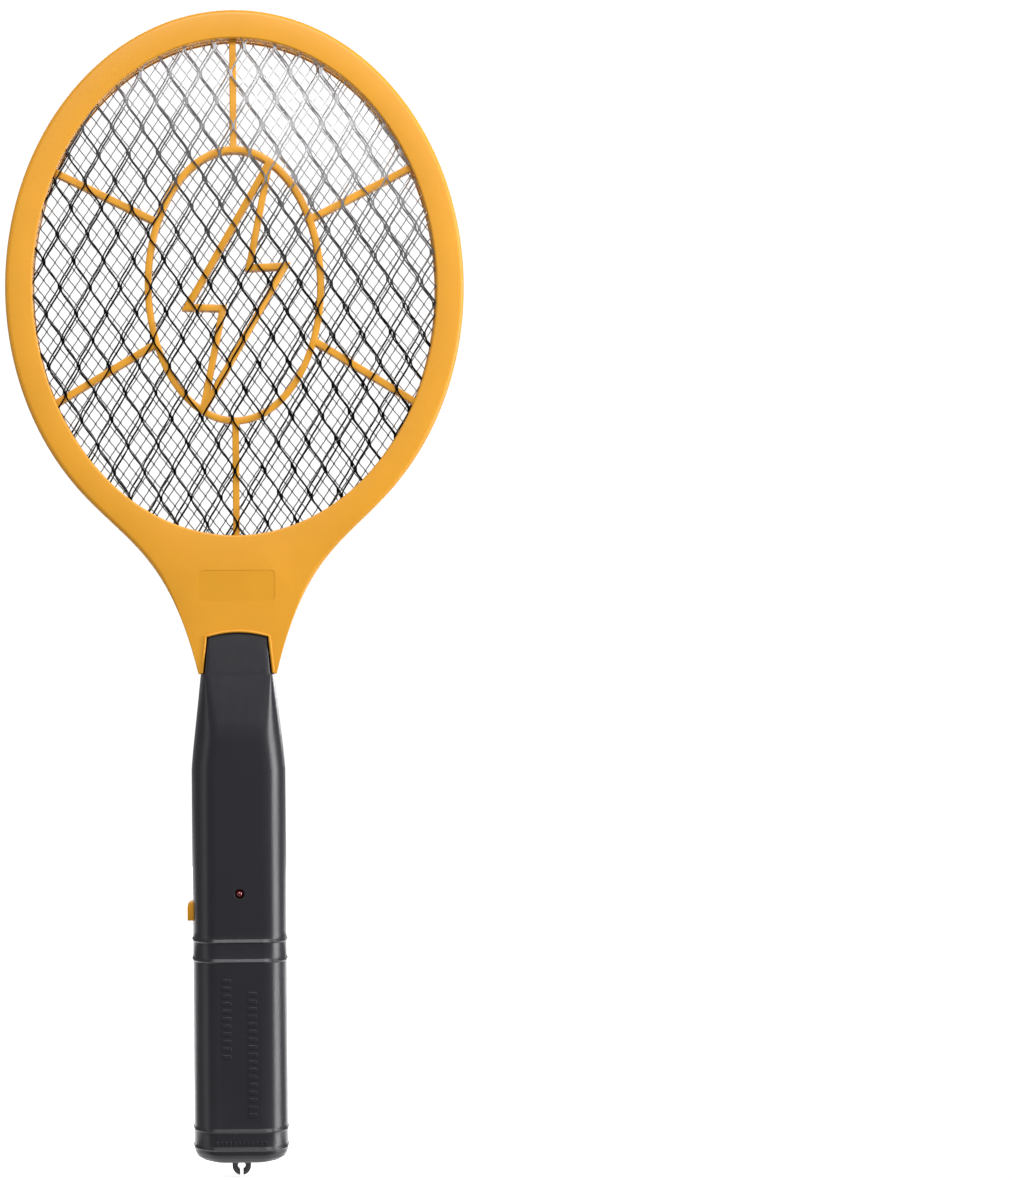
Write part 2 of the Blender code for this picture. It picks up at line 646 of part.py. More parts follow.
def half_loft(name, stations, side, parting, material_name, reduce=0.0):
    sections = []
    for station in stations:
        loop = half_section(station, side, parting, reduce)
        sections.append([(x, y, station[0]) for x, y in loop])
    return loft(name, sections, material_name)


def cavity_cutter(name, side, low, high):
    """The hollow inside one handle shell between two heights."""
    inner = [station for station in HANDLE_STATIONS if low < station[0] < high]
    ends = []
    for z in (low, high):
        values = [np.interp(z, [s[0] for s in HANDLE_STATIONS], [s[k] for s in HANDLE_STATIONS])
                  for k in range(1, 5)]
        ends.append((z, *values))
    return half_loft(name, [ends[0], *inner, ends[1]], side, -GAP, None, reduce=WALL)


def tongue_trim(name):
    """Cuts the handle's upper end to the arch of the notch it fits."""
    top = HANDLE_STATIONS[-1][0] + OVERSHOOT
    wide = HANDLE_STATIONS[-1][1] + OVERSHOOT
    half = [(0, top), (wide, top), (wide, TONGUE_CORNER_Z)]
    half += arch(TONGUE_HALF_WIDTH, TONGUE_CORNER_Z, TONGUE_ARCH_RISE)
    depth = HANDLE_STATIONS[4][3]
    return plate(name, mirrored(half), (-depth, depth), None)


def button_opening(name):
    """The opening for the button in the left wall, half in each shell."""
    half_depth = BUTTON_HALF_DEPTH + GAP
    half_height = BUTTON_HALF_HEIGHT + GAP
    outer = -HANDLE_STATIONS[4][1] - OVERSHOOT
    inner = outer + WALL + 2 * OVERSHOOT
    return box(name, (outer, -half_depth, BUTTON_Z - half_height),
               (inner, half_depth, BUTTON_Z + half_height))


def lug_outline():
    """The C of the hang lug: a ring with a slot at its foot and a square root."""
    slot = LUG_SLOT / 2
    centre_z = math.sqrt(LUG_RADIUS ** 2 - slot ** 2)
    outer_open = math.asin(slot / LUG_RADIUS)
    inner_open = math.asin(slot / LUG_HOLE_RADIUS)
    outer = [(LUG_RADIUS * math.sin(a), centre_z - LUG_RADIUS * math.cos(a))
             for a in np.linspace(outer_open, math.pi / 2, 8)]
    outer += [(LUG_RADIUS, LUG_ROOT_TOP_Z), (-LUG_RADIUS, LUG_ROOT_TOP_Z)]
    outer += [(-x, z) for x, z in outer[7::-1]]
    inner = [(LUG_HOLE_RADIUS * math.sin(a), centre_z - LUG_HOLE_RADIUS * math.cos(a))
             for a in np.linspace(2 * math.pi - inner_open, inner_open, 16)]
    return outer + inner


def handle_posts(name, side):
    """Screw posts that run from the parting plane into the shell's wall."""
    spots = [(0, z) for z in HANDLE_SCREW_HEIGHTS]
    depth = HANDLE_STATIONS[4][3] - WALL / 2
    return y_cylinders(name, spots, POST_RADIUS, (side * GAP / 2, side * depth))


def build_handle_shells():
    stations = stations_with_beads()
    face_depth = HANDLE_STATIONS[4][3]
    spots = [(0, z) for z in HANDLE_SCREW_HEIGHTS]
    top = HANDLE_STATIONS[-1][0] + OVERSHOOT
    floor = HANDLE_FOOT_Z + WALL

    front = half_loft("handle_front_shell", stations, -1, GAP / 2, "black_plastic")
    rear = half_loft("handle_rear_shell", stations, 1, GAP / 2, "black_plastic")

    boolean(front, cavity_cutter("front_cavity", -1, floor, top), "DIFFERENCE")
    wall = WALL / 2
    rear_rooms = [(floor, COMPARTMENT[0] - 2 * wall), COMPARTMENT, (COMPARTMENT[1] + 2 * wall, top)]
    rooms = [cavity_cutter(f"rear_room_{i}", 1, *room) for i, room in enumerate(rear_rooms)]
    boolean(rear, join("rear_cavity", rooms), "DIFFERENCE")

    boolean(front, handle_posts("front_posts", -1), "UNION")
    lug = plate("lug", lug_outline(), (-LUG_HALF_THICKNESS, LUG_HALF_THICKNESS), None)
    boolean(rear, join("rear_added", [handle_posts("rear_posts", 1), lug]), "UNION")

    lug_notch = box("lug_notch", (-LUG_RADIUS - GAP, -LUG_HALF_THICKNESS - GAP, -OVERSHOOT),
                    (LUG_RADIUS + GAP, OVERSHOOT, floor + GAP))
    front_holes = y_cylinders("front_post_holes", spots, POST_HOLE_RADIUS,
                              (OVERSHOOT, -face_depth + WALL))
    led_hole = y_cylinders("led_hole", [(0, LED_Z)], LED_RADIUS + GAP,
                           (-face_depth + 2 * WALL, -face_depth - OVERSHOOT), ROUND_SEGMENTS)
    for cutter in (lug_notch, front_holes, led_hole, button_opening("front_button_opening"),
                   tongue_trim("front_tongue_trim")):
        boolean(front, cutter, "DIFFERENCE")

    rear_holes = screw_holes("rear_post_holes", spots, face_depth - SCREW_HEAD_HEIGHT, face_depth)
    door_opening = box("door_opening", (-DOOR_OPENING_HALF_WIDTH, CELL_Y, DOOR_OPENING[0]),
                       (DOOR_OPENING_HALF_WIDTH, face_depth + OVERSHOOT, DOOR_OPENING[1]))
    for cutter in (rear_holes, door_opening, button_opening("rear_button_opening"),
                   tongue_trim("rear_tongue_trim")):
        boolean(rear, cutter, "DIFFERENCE")

    for i, z in enumerate(HANDLE_SCREW_HEIGHTS):
        screw(f"handle_screw_{i + 1}", 0.0, face_depth - SCREW_HEAD_HEIGHT, z)


def build_battery_door():
    """The door: a bent plate over the flat back and its two slopes, with a latch tab."""
    _, side, face, face_depth, corner_depth = HANDLE_STATIONS[4]
    slope = (face_depth - corner_depth) / (side - CORNER_INSET - face)
    edge_x = DOOR_OPENING_HALF_WIDTH - GAP
    edge_y = face_depth - slope * (edge_x - face)
    inner_face = face - DOOR_WALL * (math.hypot(1, slope) - 1) / slope
    inner_drop = DOOR_WALL * math.hypot(1, slope)
    outline = [(edge_x, edge_y), (face, face_depth), (-face, face_depth), (-edge_x, edge_y),
               (-edge_x, edge_y - inner_drop), (-inner_face, face_depth - DOOR_WALL),
               (inner_face, face_depth - DOOR_WALL), (edge_x, edge_y - inner_drop)]
    span = (DOOR_OPENING[0] + GAP, DOOR_OPENING[1] - GAP)
    door = plate("battery_door", outline, span, "black_plastic", axis="Z")
    latch = box("latch", (-0.0020, 0.0060, COMPARTMENT[1] - 0.0016),
                (0.0020, face_depth - DOOR_WALL / 2, COMPARTMENT[1] - 0.0007))
    boolean(door, latch, "UNION")


def build_cell(name, x, foot_z, flipped):
    """An AA cell; flipped puts the nub at the foot."""
    nub_radius, nub_length = CELL_NUB
    corner = 0.0006
    profile = [(CELL_RADIUS - corner, 0), (CELL_RADIUS, corner),
               (CELL_RADIUS, CELL_BODY_LENGTH - corner), (CELL_RADIUS - corner, CELL_BODY_LENGTH),
               (nub_radius, CELL_BODY_LENGTH), (nub_radius, CELL_BODY_LENGTH + nub_length)]
    if flipped:
        whole = CELL_BODY_LENGTH + nub_length
        profile = [(radius, whole - height) for radius, height in profile[::-1]]
    turned(name, profile, "cell_sleeve", (x, CELL_Y, foot_z), "Z", 20)


def build_spring(name, x, low, high):
    count = int(SPRING_TURNS * 10)
    points = []
    for k in range(count + 1):
        angle = 2 * math.pi * SPRING_TURNS * k / count
        radius = SPRING_COIL_RADIUS * (1 - 0.25 * k / count)
        points.append((x + radius * math.cos(angle), CELL_Y + radius * math.sin(angle),
                       low + (high - low) * k / count))
    tube(name, points, SPRING_WIRE_RADIUS, "steel", resolution=1)


def build_battery():
    whole = CELL_BODY_LENGTH + CELL_NUB[1]
    bridge_top = COMPARTMENT[0] + GAP + PLATE_THICKNESS
    plate_foot = COMPARTMENT[1] - GAP - PLATE_THICKNESS
    left_foot = plate_foot - GAP - whole
    right_foot = bridge_top + GAP
    build_cell("battery_cell_left", -CELL_X, left_foot, False)
    build_cell("battery_cell_right", CELL_X, right_foot, True)

    half = 0.0053
    low_y, high_y = -0.0035, 0.0095
    box("contact_bridge", (-CELL_X - half, low_y, bridge_top - PLATE_THICKNESS),
        (CELL_X + half, high_y, bridge_top), "steel")
    for name, x in (("contact_plate_positive", -CELL_X), ("contact_plate_negative", CELL_X)):
        box(name, (x - half, low_y, plate_foot), (x + half, high_y, plate_foot + PLATE_THICKNESS), "steel")
    reach = SPRING_WIRE_RADIUS + GAP
    build_spring("battery_spring_lower", -CELL_X, bridge_top + reach + 0.0001, left_foot - reach - 0.0001)
    build_spring("battery_spring_upper", CELL_X, right_foot + whole + reach + 0.0001,
                 plate_foot - reach - 0.0001)


# --------------------------------------------------------------- electronics
def build_button():
    """The side button: cap, retaining flange and stem, and the switch it presses."""
    cap_inner = BUTTON_CAP_INNER_X
    flange_inner = BUTTON_FLANGE_INNER_X
    stem_end = BUTTON_STEM_END_X
    top = BUTTON_Z + BUTTON_HALF_HEIGHT
    low = BUTTON_Z - BUTTON_HALF_HEIGHT
    flange = BUTTON_HALF_HEIGHT + BUTTON_FLANGE_HEIGHT
    stem = BUTTON_STEM_HALF_HEIGHT
    outline = [(BUTTON_TIP_X, low), (cap_inner, low), (cap_inner, BUTTON_Z - flange),
               (flange_inner, BUTTON_Z - flange), (flange_inner, BUTTON_Z - stem),
               (stem_end, BUTTON_Z - stem), (stem_end, BUTTON_Z + stem),
               (flange_inner, BUTTON_Z + stem), (flange_inner, BUTTON_Z + flange),
               (cap_inner, BUTTON_Z + flange), (cap_inner, top),
               (BUTTON_TIP_X + BUTTON_SLOPE / 2, top), (BUTTON_TIP_X, top - BUTTON_SLOPE)]
    plate("power_button", outline, (-BUTTON_HALF_DEPTH, BUTTON_HALF_DEPTH), "orange_plastic")

    turned("switch_plunger", ((PLUNGER_RADIUS, stem_end + GAP), (PLUNGER_RADIUS, PLUNGER_END_X)),
           "component_black", (0, 0, BUTTON_Z), "X", 12)
    body = box("switch_body", (SWITCH_X[0], BOARD_Y[1] + GAP, BUTTON_Z - SWITCH_HALF_HEIGHT),
               (SWITCH_X[1], SWITCH_REAR_Y, BUTTON_Z + SWITCH_HALF_HEIGHT), "component_black")
    pocket = turned("plunger_pocket", ((PLUNGER_RADIUS + GAP, SWITCH_X[0] - OVERSHOOT),
                                       (PLUNGER_RADIUS + GAP, PLUNGER_END_X + BUTTON_TRAVEL + GAP)),
                    None, (0, 0, BUTTON_Z), "X", 12)
    boolean(body, pocket, "DIFFERENCE")


def build_led():
    dome_end = LED_TIP_Y + LED_RADIUS
    collar = 1.2 * LED_RADIUS
    profile = [(0.35 * LED_RADIUS, LED_TIP_Y), (0.8 * LED_RADIUS, LED_TIP_Y + 0.35 * LED_RADIUS),
               (LED_RADIUS, dome_end), (LED_RADIUS, LED_COLLAR_Y[0]), (collar, LED_COLLAR_Y[0]),
               (collar, LED_COLLAR_Y[1])]
    led = turned("indicator_led", profile, "red_lens", (0, 0, LED_Z), "Y", 16)
    half = LED_LEG_HALF_WIDTH
    legs = [box(f"led_leg_{x}", (x - half, LED_COLLAR_Y[1] - 0.0002, LED_Z - half),
                (x + half, BOARD_Y[0] - GAP, LED_Z + half)) for x in (-LED_LEG_X, LED_LEG_X)]
    boolean(led, join("led_legs", legs), "UNION")


def upright_block(name, centre, size, material_name, bevel):
    """A component body on the board's rear face, with bevelled upright edges."""
    x, z = centre
    width, height, depth = size
    outline = [(x - width / 2, z - height / 2 + bevel), (x - width / 2 + bevel, z - height / 2),
               (x + width / 2 - bevel, z - height / 2), (x + width / 2, z - height / 2 + bevel),
               (x + width / 2, z + height / 2 - bevel), (x + width / 2 - bevel, z + height / 2),
               (x - width / 2 + bevel, z + height / 2), (x - width / 2, z + height / 2 - bevel)]
    foot = BOARD_Y[1] + GAP
    plate(name, outline, (foot, foot + depth), material_name)


def build_board():
    corner = BOARD_CORNER
    low, high = BOARD_Z
    half = BOARD_HALF_WIDTH
    outline = [(-half + corner, low), (half - corner, low), (half, low + corner),
               (half, high - corner), (half - corner, high), (-half + corner, high),
               (-half, high - corner), (-half, low + corner)]
    plate("circuit_board", outline, BOARD_Y, "board")

    # Step-up transformer: a ferrite frame round its winding.
    centre_x, centre_z = TRANSFORMER_PLACE
    half_x, half_z = TRANSFORMER_HALF_SIZE
    leg = TRANSFORMER_LEG
    foot = BOARD_Y[1] + GAP
    frame = [(centre_x - half_x, centre_z - half_z), (centre_x + half_x, centre_z - half_z),
             (centre_x + half_x, centre_z + half_z), (centre_x - half_x, centre_z + half_z)]
    window = [tuple(p) for p in inset(frame, leg)]
    core_low, core_high = TRANSFORMER_CORE_DEPTH
    plate("transformer_core", frame, (foot + core_low, foot + core_high), "ferrite", [window])
    winding = (2 * (half_x - leg - GAP), 2 * (half_z - leg - GAP), WINDING_DEPTH)
    upright_block("transformer_winding", TRANSFORMER_PLACE, winding, "winding_tape", 0.0008)

    upright_block("high_voltage_capacitor", *HIGH_VOLTAGE_CAPACITOR, "film_capacitor", 0.0012)
    upright_block("oscillator_transistor", *TRANSISTOR, "component_black", 0.0012)
    for i, x in enumerate(MULTIPLIER_X):
        turned(f"multiplier_capacitor_{i + 1}", MULTIPLIER_PROFILE, "disc_capacitor",
               (x, foot + MULTIPLIER_RISE, MULTIPLIER_Z), "Z", 14)
    for name, z, (radius, length), material_name in LYING_PARTS:
        turned(name, ((radius, -length / 2), (radius, length / 2)), material_name,
               (LYING_X, foot + radius, z), "Z", 12)


def build_wires():
    """Leads from the cells to the board, and from the board up the tang to the nets."""
    plate_top = COMPARTMENT[1] - GAP
    spacing = 7 * WIRE_RADIUS
    for name, x, material_name in (("battery_wire_positive", -CELL_X, "red_wire"),
                                   ("battery_wire_negative", CELL_X, "black_wire")):
        knots = [(x, -0.0022, plate_top + GAP), (x, -0.0022, plate_top + 0.004),
                 (x * 1.15, -0.0030, 0.0880), (x * 1.05, -0.0046, BOARD_Z[0] - 0.002),
                 (x, -0.0052, BOARD_Z[0] + 0.003)]
        tube(name, smooth_route(knots, spacing), WIRE_RADIUS, material_name)
    neck_z = NECK_CAVITY_FLOOR_Z
    net_edge_z = HEAD_CENTRE[1] - OPENING_HALF_HEIGHT - CLAMPED_EDGE
    for name, side, end_y, material_name in (("net_wire_outer", -1, -0.0028, "black_wire"),
                                             ("net_wire_middle", 1, 0.0028, "red_wire")):
        x = side * LEAD_SLOT_X
        knots = [(x, -0.0052, BOARD_Z[1] - 0.003), (x, -0.0050, BOARD_Z[1] + 0.003),
                 (x, 0, 0.1640), (x, 0, 0.1900), (x, 0, neck_z), (x, 0, neck_z + 0.003),
                 (0.65 * x, 0.5 * end_y, neck_z + 0.013), (0.5 * x, end_y, net_edge_z - 0.001)]
        tube(name, smooth_route(knots, spacing), WIRE_RADIUS, material_name)


def build():
    clear_scene()
    build_head()
    build_handle_shells()
    build_battery_door()
    build_battery()
    build_button()
    build_led()
    build_board()
    build_wires()


build()
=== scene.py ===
import json
import math

import bmesh
import bpy
import numpy as np
from mathutils import Matrix, Vector


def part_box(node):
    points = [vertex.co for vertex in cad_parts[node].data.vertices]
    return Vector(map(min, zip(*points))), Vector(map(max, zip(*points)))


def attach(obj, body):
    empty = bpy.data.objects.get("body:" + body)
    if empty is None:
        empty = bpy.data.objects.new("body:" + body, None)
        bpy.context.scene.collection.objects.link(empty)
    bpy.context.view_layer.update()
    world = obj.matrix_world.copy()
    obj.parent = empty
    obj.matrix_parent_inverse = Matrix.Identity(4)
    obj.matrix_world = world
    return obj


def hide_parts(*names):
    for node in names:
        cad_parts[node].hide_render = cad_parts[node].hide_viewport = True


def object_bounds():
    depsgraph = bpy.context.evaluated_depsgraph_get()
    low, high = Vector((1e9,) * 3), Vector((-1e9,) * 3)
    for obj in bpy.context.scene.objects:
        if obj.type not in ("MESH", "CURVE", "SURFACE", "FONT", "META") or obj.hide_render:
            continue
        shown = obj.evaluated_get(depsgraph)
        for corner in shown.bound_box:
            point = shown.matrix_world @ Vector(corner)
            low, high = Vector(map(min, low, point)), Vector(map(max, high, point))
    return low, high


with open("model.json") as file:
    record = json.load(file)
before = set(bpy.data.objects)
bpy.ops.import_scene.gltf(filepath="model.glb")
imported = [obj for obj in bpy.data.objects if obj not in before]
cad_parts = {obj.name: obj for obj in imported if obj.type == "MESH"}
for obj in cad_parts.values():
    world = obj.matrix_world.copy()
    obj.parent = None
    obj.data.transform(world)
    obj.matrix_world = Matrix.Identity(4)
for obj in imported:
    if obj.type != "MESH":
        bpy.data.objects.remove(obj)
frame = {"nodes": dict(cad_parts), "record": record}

cad_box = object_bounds()

# ---- sizes taken from the frame
RING_LOW, RING_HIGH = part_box("head_front_shell")
HEAD_HALF_DEPTH = -RING_LOW.y
PARTING = -RING_HIGH.y
HEAD_HALF_WIDTH = RING_HIGH.x
HEAD_TOP_Z = RING_HIGH.z
HANDLE_FOOT_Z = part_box("handle_front_shell")[0].z
DOOR_LOW, DOOR_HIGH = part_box("battery_door")
BUTTON_LOW, BUTTON_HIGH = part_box("power_button")
LED_LOW, LED_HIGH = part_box("indicator_led")
LED_Z = (LED_LOW.z + LED_HIGH.z) / 2
BUTTON_Z = (BUTTON_LOW.z + BUTTON_HIGH.z) / 2

# ---- sizes of fine details
GAP = 0.0003
WALL = 0.002
OVERSHOOT = 0.002

HEAD_HALF_HEIGHT = 0.1068
HEAD_CENTRE = (0.0, HEAD_TOP_Z - HEAD_HALF_HEIGHT)
OPENING_HALF_WIDTH = 0.0779
OPENING_HALF_HEIGHT = 0.0958
FLANGE = 0.0016
CLAMPED_EDGE = 0.0036
EDGE_ROUND = 0.0019          # outer edge of the ring
NOTCH_ROUND = 0.0003         # the same edge at the prongs and the notch
RIM_ROUND = 0.0007           # inner edge of the ring
FLARE_CURVE = ((0.0612, 0.2660), (0.0428, 0.2448), (0.0263, 0.2407), (0.0151, 0.1940))
FLARE_START_ANGLE = 2.3786
NOTCH_TIP_HALF_WIDTH = 0.0139
NOTCH_TOP_HALF_WIDTH = 0.0124
NOTCH_CORNER_Z = 0.2086
NOTCH_ARCH_RISE = 0.0020
NECK_CAVITY_FLOOR_Z = 0.2135
ROUND_GROWS_Z = (0.2105, 0.2380)   # from the notch's edge round to the ring's
SEAM_CREASE = 0.00018        # small slope where the two shells meet
LABEL_RECESS = (0.0293, 0.0119, 0.2280, 0.00012)   # width, height, middle, depth
LABEL_CORNER = 0.0018
LIP_RADIUS = 0.00055
LIP_OVERHANG = 0.0001
LIP_START = 0.0004           # above the prongs' tips
LIP_SINK = 0.00005

# A net's step across and up from one bond to the next, and its strand's sizes.
OUTER_NET = {"across": (0.01162, 0.00013), "up": (-0.00082, 0.02047), "width": 0.00059,
             "bond": 0.0019, "steps": 7, "thickness": 0.0005, "twist": 0.00012}
MIDDLE_NET = {"across": (0.00480, 0.00020), "up": (-0.00034, 0.00665), "width": 0.00042,
              "bond": 0.0007, "steps": 3, "thickness": 0.00034, "twist": 0.00005}
# Each net's pattern, the place of one of its bonds, and its material.
NETS = {"front_net": (OUTER_NET, (-0.0020, 0.3132), "net_metal"),
        "rear_net": (OUTER_NET, (-0.00307, 0.3153), "net_metal"),
        "middle_net": (MIDDLE_NET, (0.0010, 0.3400), "middle_net")}
STRAND_BEND = 0.30           # 0 is a straight strand, 1 a full S
STRAND_SWELL = 0.16          # a strand is this much wider at its middle
NET_REACH = 0.85             # how much of the clamped edge the nets fill

RIB_WIDTH = 0.0026
RIB_ROUND = 0.00045
RIB_OVAL = (0.0334, 0.0524)
RIB_OVAL_CENTRE = (0.0, 0.3442)
SPOKES = (((0.0, 0.0958), (0.0, 0.0520)), ((0.0668, 0.0440), (0.0313, 0.0262)),
          ((0.0688, -0.0453), (0.0310, -0.0220)), ((0.0, -0.0958), (0.0, -0.0520)),
          ((-0.0683, -0.0446), (-0.0322, -0.0234)), ((-0.0691, 0.0442), (-0.0318, 0.0256)))
BOLT = ((0.0139, 0.3917), (-0.0184, 0.3357), (-0.0045, 0.3353),
        (-0.0126, 0.2956), (0.0196, 0.3514), (0.0057, 0.3508))

# Handle section by height: side half width, face half width, face depth, corner depth.
HANDLE_STATIONS = (
    (0.0066, 0.0129, 0.0087, 0.0107, 0.0066),
    (0.0072, 0.0155, 0.0101, 0.0114, 0.0073),
    (0.0084, 0.0173, 0.0111, 0.0123, 0.0079),
    (0.0101, 0.01815, 0.0114, 0.0130, 0.0082),
    (0.1570, 0.01815, 0.0114, 0.0130, 0.0082),
    (0.1643, 0.01755, 0.0107, 0.0130, 0.0082),
    (0.1712, 0.01675, 0.0100, 0.0130, 0.0080),
    (0.1828, 0.01545, 0.0114, 0.0108, 0.0074),
    (0.1937, 0.0143, 0.0127, 0.0087, 0.0070),
    (0.1944, 0.0135, 0.0124, 0.0086, 0.0069),
    (0.2120, 0.0118, 0.0110, 0.0053, 0.0048))
CORNER_INSET = 0.0008
GRIP_FOOT, GRIP_TOP = HANDLE_STATIONS[3], HANDLE_STATIONS[4]
STEP_LOW_Z, STEP_HIGH_Z = HANDLE_STATIONS[8][0], HANDLE_STATIONS[9][0]
HANDLE_TOP_Z = HANDLE_STATIONS[-1][0]
GRIP_FACE_Y = GRIP_TOP[3]
GRIP_SAMPLES = np.linspace(0.095, 0.150, 6)
CREASE_SPREAD = 0.004        # height over which a crease above the grip is softened
FACE_ROUND = 0.0030          # between the flat face and the slope
SIDE_ROUND = 0.0036          # between the slope and the side
TONGUE_CORNER_Z = 0.2083
TONGUE_HALF_WIDTH = 0.0121
TONGUE_ARCH_RISE = 0.0020
TONGUE_TRIM = (0.0150, 0.2140, 0.0140)   # the trimming plate's half width, top and half depth
BEAD_HEIGHTS = (0.01215, 0.0191, 0.0842, 0.0917)
BEAD_HALF_WIDTH = 0.0009
BEAD_PROUD = 0.00045
BEAD_PEAK = -0.3             # the ridge's place between its foot (-1) and its top (1)
PIP_COLUMNS = ((-0.0053, 0.0765, 0.0470), (0.0046, 0.0715, 0.0240))   # place, top and foot
PIP_PITCH = 0.0029
PIP_SIZE = (0.0036, 0.0017)
PIP_ROW_Z = 0.0145
PIP_ROW_HALF_WIDTH = 0.0093
PIP_ROW_COUNT = 12
PIP_ROW_SIZE = (0.0010, 0.0015)
PIP_PROUD = 0.00022
PIP_ROOT = 0.0004
LED_HOLE_RADIUS = 0.0018
LED_HOLE_CHAMFER = 0.00025
LED_HOLE_Y = (-0.0100, -0.0128)   # the bore's inner end and where it starts to flare
LED_RADIUS = 0.00135
LED_COLLAR_RADIUS = 1.2 * LED_RADIUS
LED_COLLAR_Y = (-0.0095, -0.0088)
LED_LEG_X = 0.0007
LED_LEG_HALF_WIDTH = 0.00025
LUG_RADIUS = 0.0036
LUG_HOLE_RADIUS = 0.0015
LUG_SLOT = 0.0012
LUG_HALF_THICKNESS = 0.0015
LUG_ROOT_TOP_Z = 0.0079
LUG_ROUND = 0.0003
DOOR_OPENING_HALF_WIDTH = 0.0164
DOOR_WALL = 0.0018
DOOR_ROUND = 0.00025
LATCH_HALF_WIDTH = 0.0020
LATCH_Z = (0.0783, 0.0792)
GROOVE_COUNT = 6
GROOVE_PITCH = 0.0016
GROOVE_TOP = 0.0060          # the first groove's distance below the door's top
GROOVE_HALF_LENGTH = 0.0068
GROOVE_TAPER = 0.0007        # each groove away from the middle is this much shorter
GROOVE_RADII = (0.0002, 0.00045)
GROOVE_END = 0.0006
BUTTON_CAP_INNER_X = -0.0158
BUTTON_FLANGE_INNER_X = -0.0147
BUTTON_HALF_CAP = 0.00365
BUTTON_HALF_STEM = 0.0018
BUTTON_NOSE = (0.0011, 0.0003, 0.0020)   # the cap's slanted corner: two depths and its drop
BUTTON_ROUND = 0.00032
BUTTON_OPENING = (-0.0150, 0.0038, 0.00395)   # inner end, half depth, half height
CELL_X = 0.0075
CELL_Y = 0.0035
CELL_NUB = (0.00275, 0.0010)
CELL_ROUND = 0.0006
SPRING_TURNS = 3.5
SPRING_COIL_RADIUS = 0.0032
SPRING_WIRE_RADIUS = 0.00035
COMPARTMENT = (0.0215, 0.0799)
SCREW_HEAD_RADIUS = 0.0018
SCREW_HEAD_HEIGHT = 0.0013
SCREW_SHANK_RADIUS = 0.0009
SCREW_TURNS = 7
SCREW_SLOT = (0.00105, 0.00022, 0.0008)   # half length, half width, depth
POST_RADIUS = 0.0026
POST_END_Y = 0.0120
POST_HOLE_RADIUS = 0.0012
SCREW_RECESS_RADIUS = 0.0021

FLOOR_RADIUS = 0.6
FLOOR_CENTRE_Y = 0.58        # the floor ends just in front, so the front doesn't mirror it
FLOOR_DROP = 0.0006
SURROUND = (0.235, 0.235, 0.25)
BACKDROP_STRENGTH = 1.05
# Each light's place, target, width and height, and power in watts.
LIGHTS = {"key_high_right": ((0.60, -0.80, 0.85), (0, 0, 0.30), (0.4, 0.4), 2.8),
          "side_right": ((0.95, -0.25, 0.25), (0, 0, 0.15), (0.25, 1.0), 10.0),
          "side_left": ((-0.90, -0.36, 0.25), (0, 0, 0.15), (0.3, 1.0), 1.1),
          "top_front": ((0.08, -1.20, 1.42), (0, 0, 0.24), (1.0, 0.5), 23.0),
          "back_high": ((-0.35, 1.25, 1.20), (0, 0, 0.24), (1.3, 0.8), 14.0),
          "back_low": ((0.50, 1.30, 0.55), (0, 0, 0.24), (0.5, 0.8), 5.5)}
CAMERA_DISTANCE = 1.05
CAMERA_RISE = 0.0013         # above the object's middle
VISIBLE_HEIGHT = 0.4572      # what the frame's height takes in at the object
SHIFT_X = 0.228
CAMERA_LEAN = math.radians(0.48)

HEAD_SCREWS = [f"head_screw_{i}" for i in range(1, 8)]
HANDLE_SCREWS = [f"handle_screw_{i}" for i in range(1, 4)]


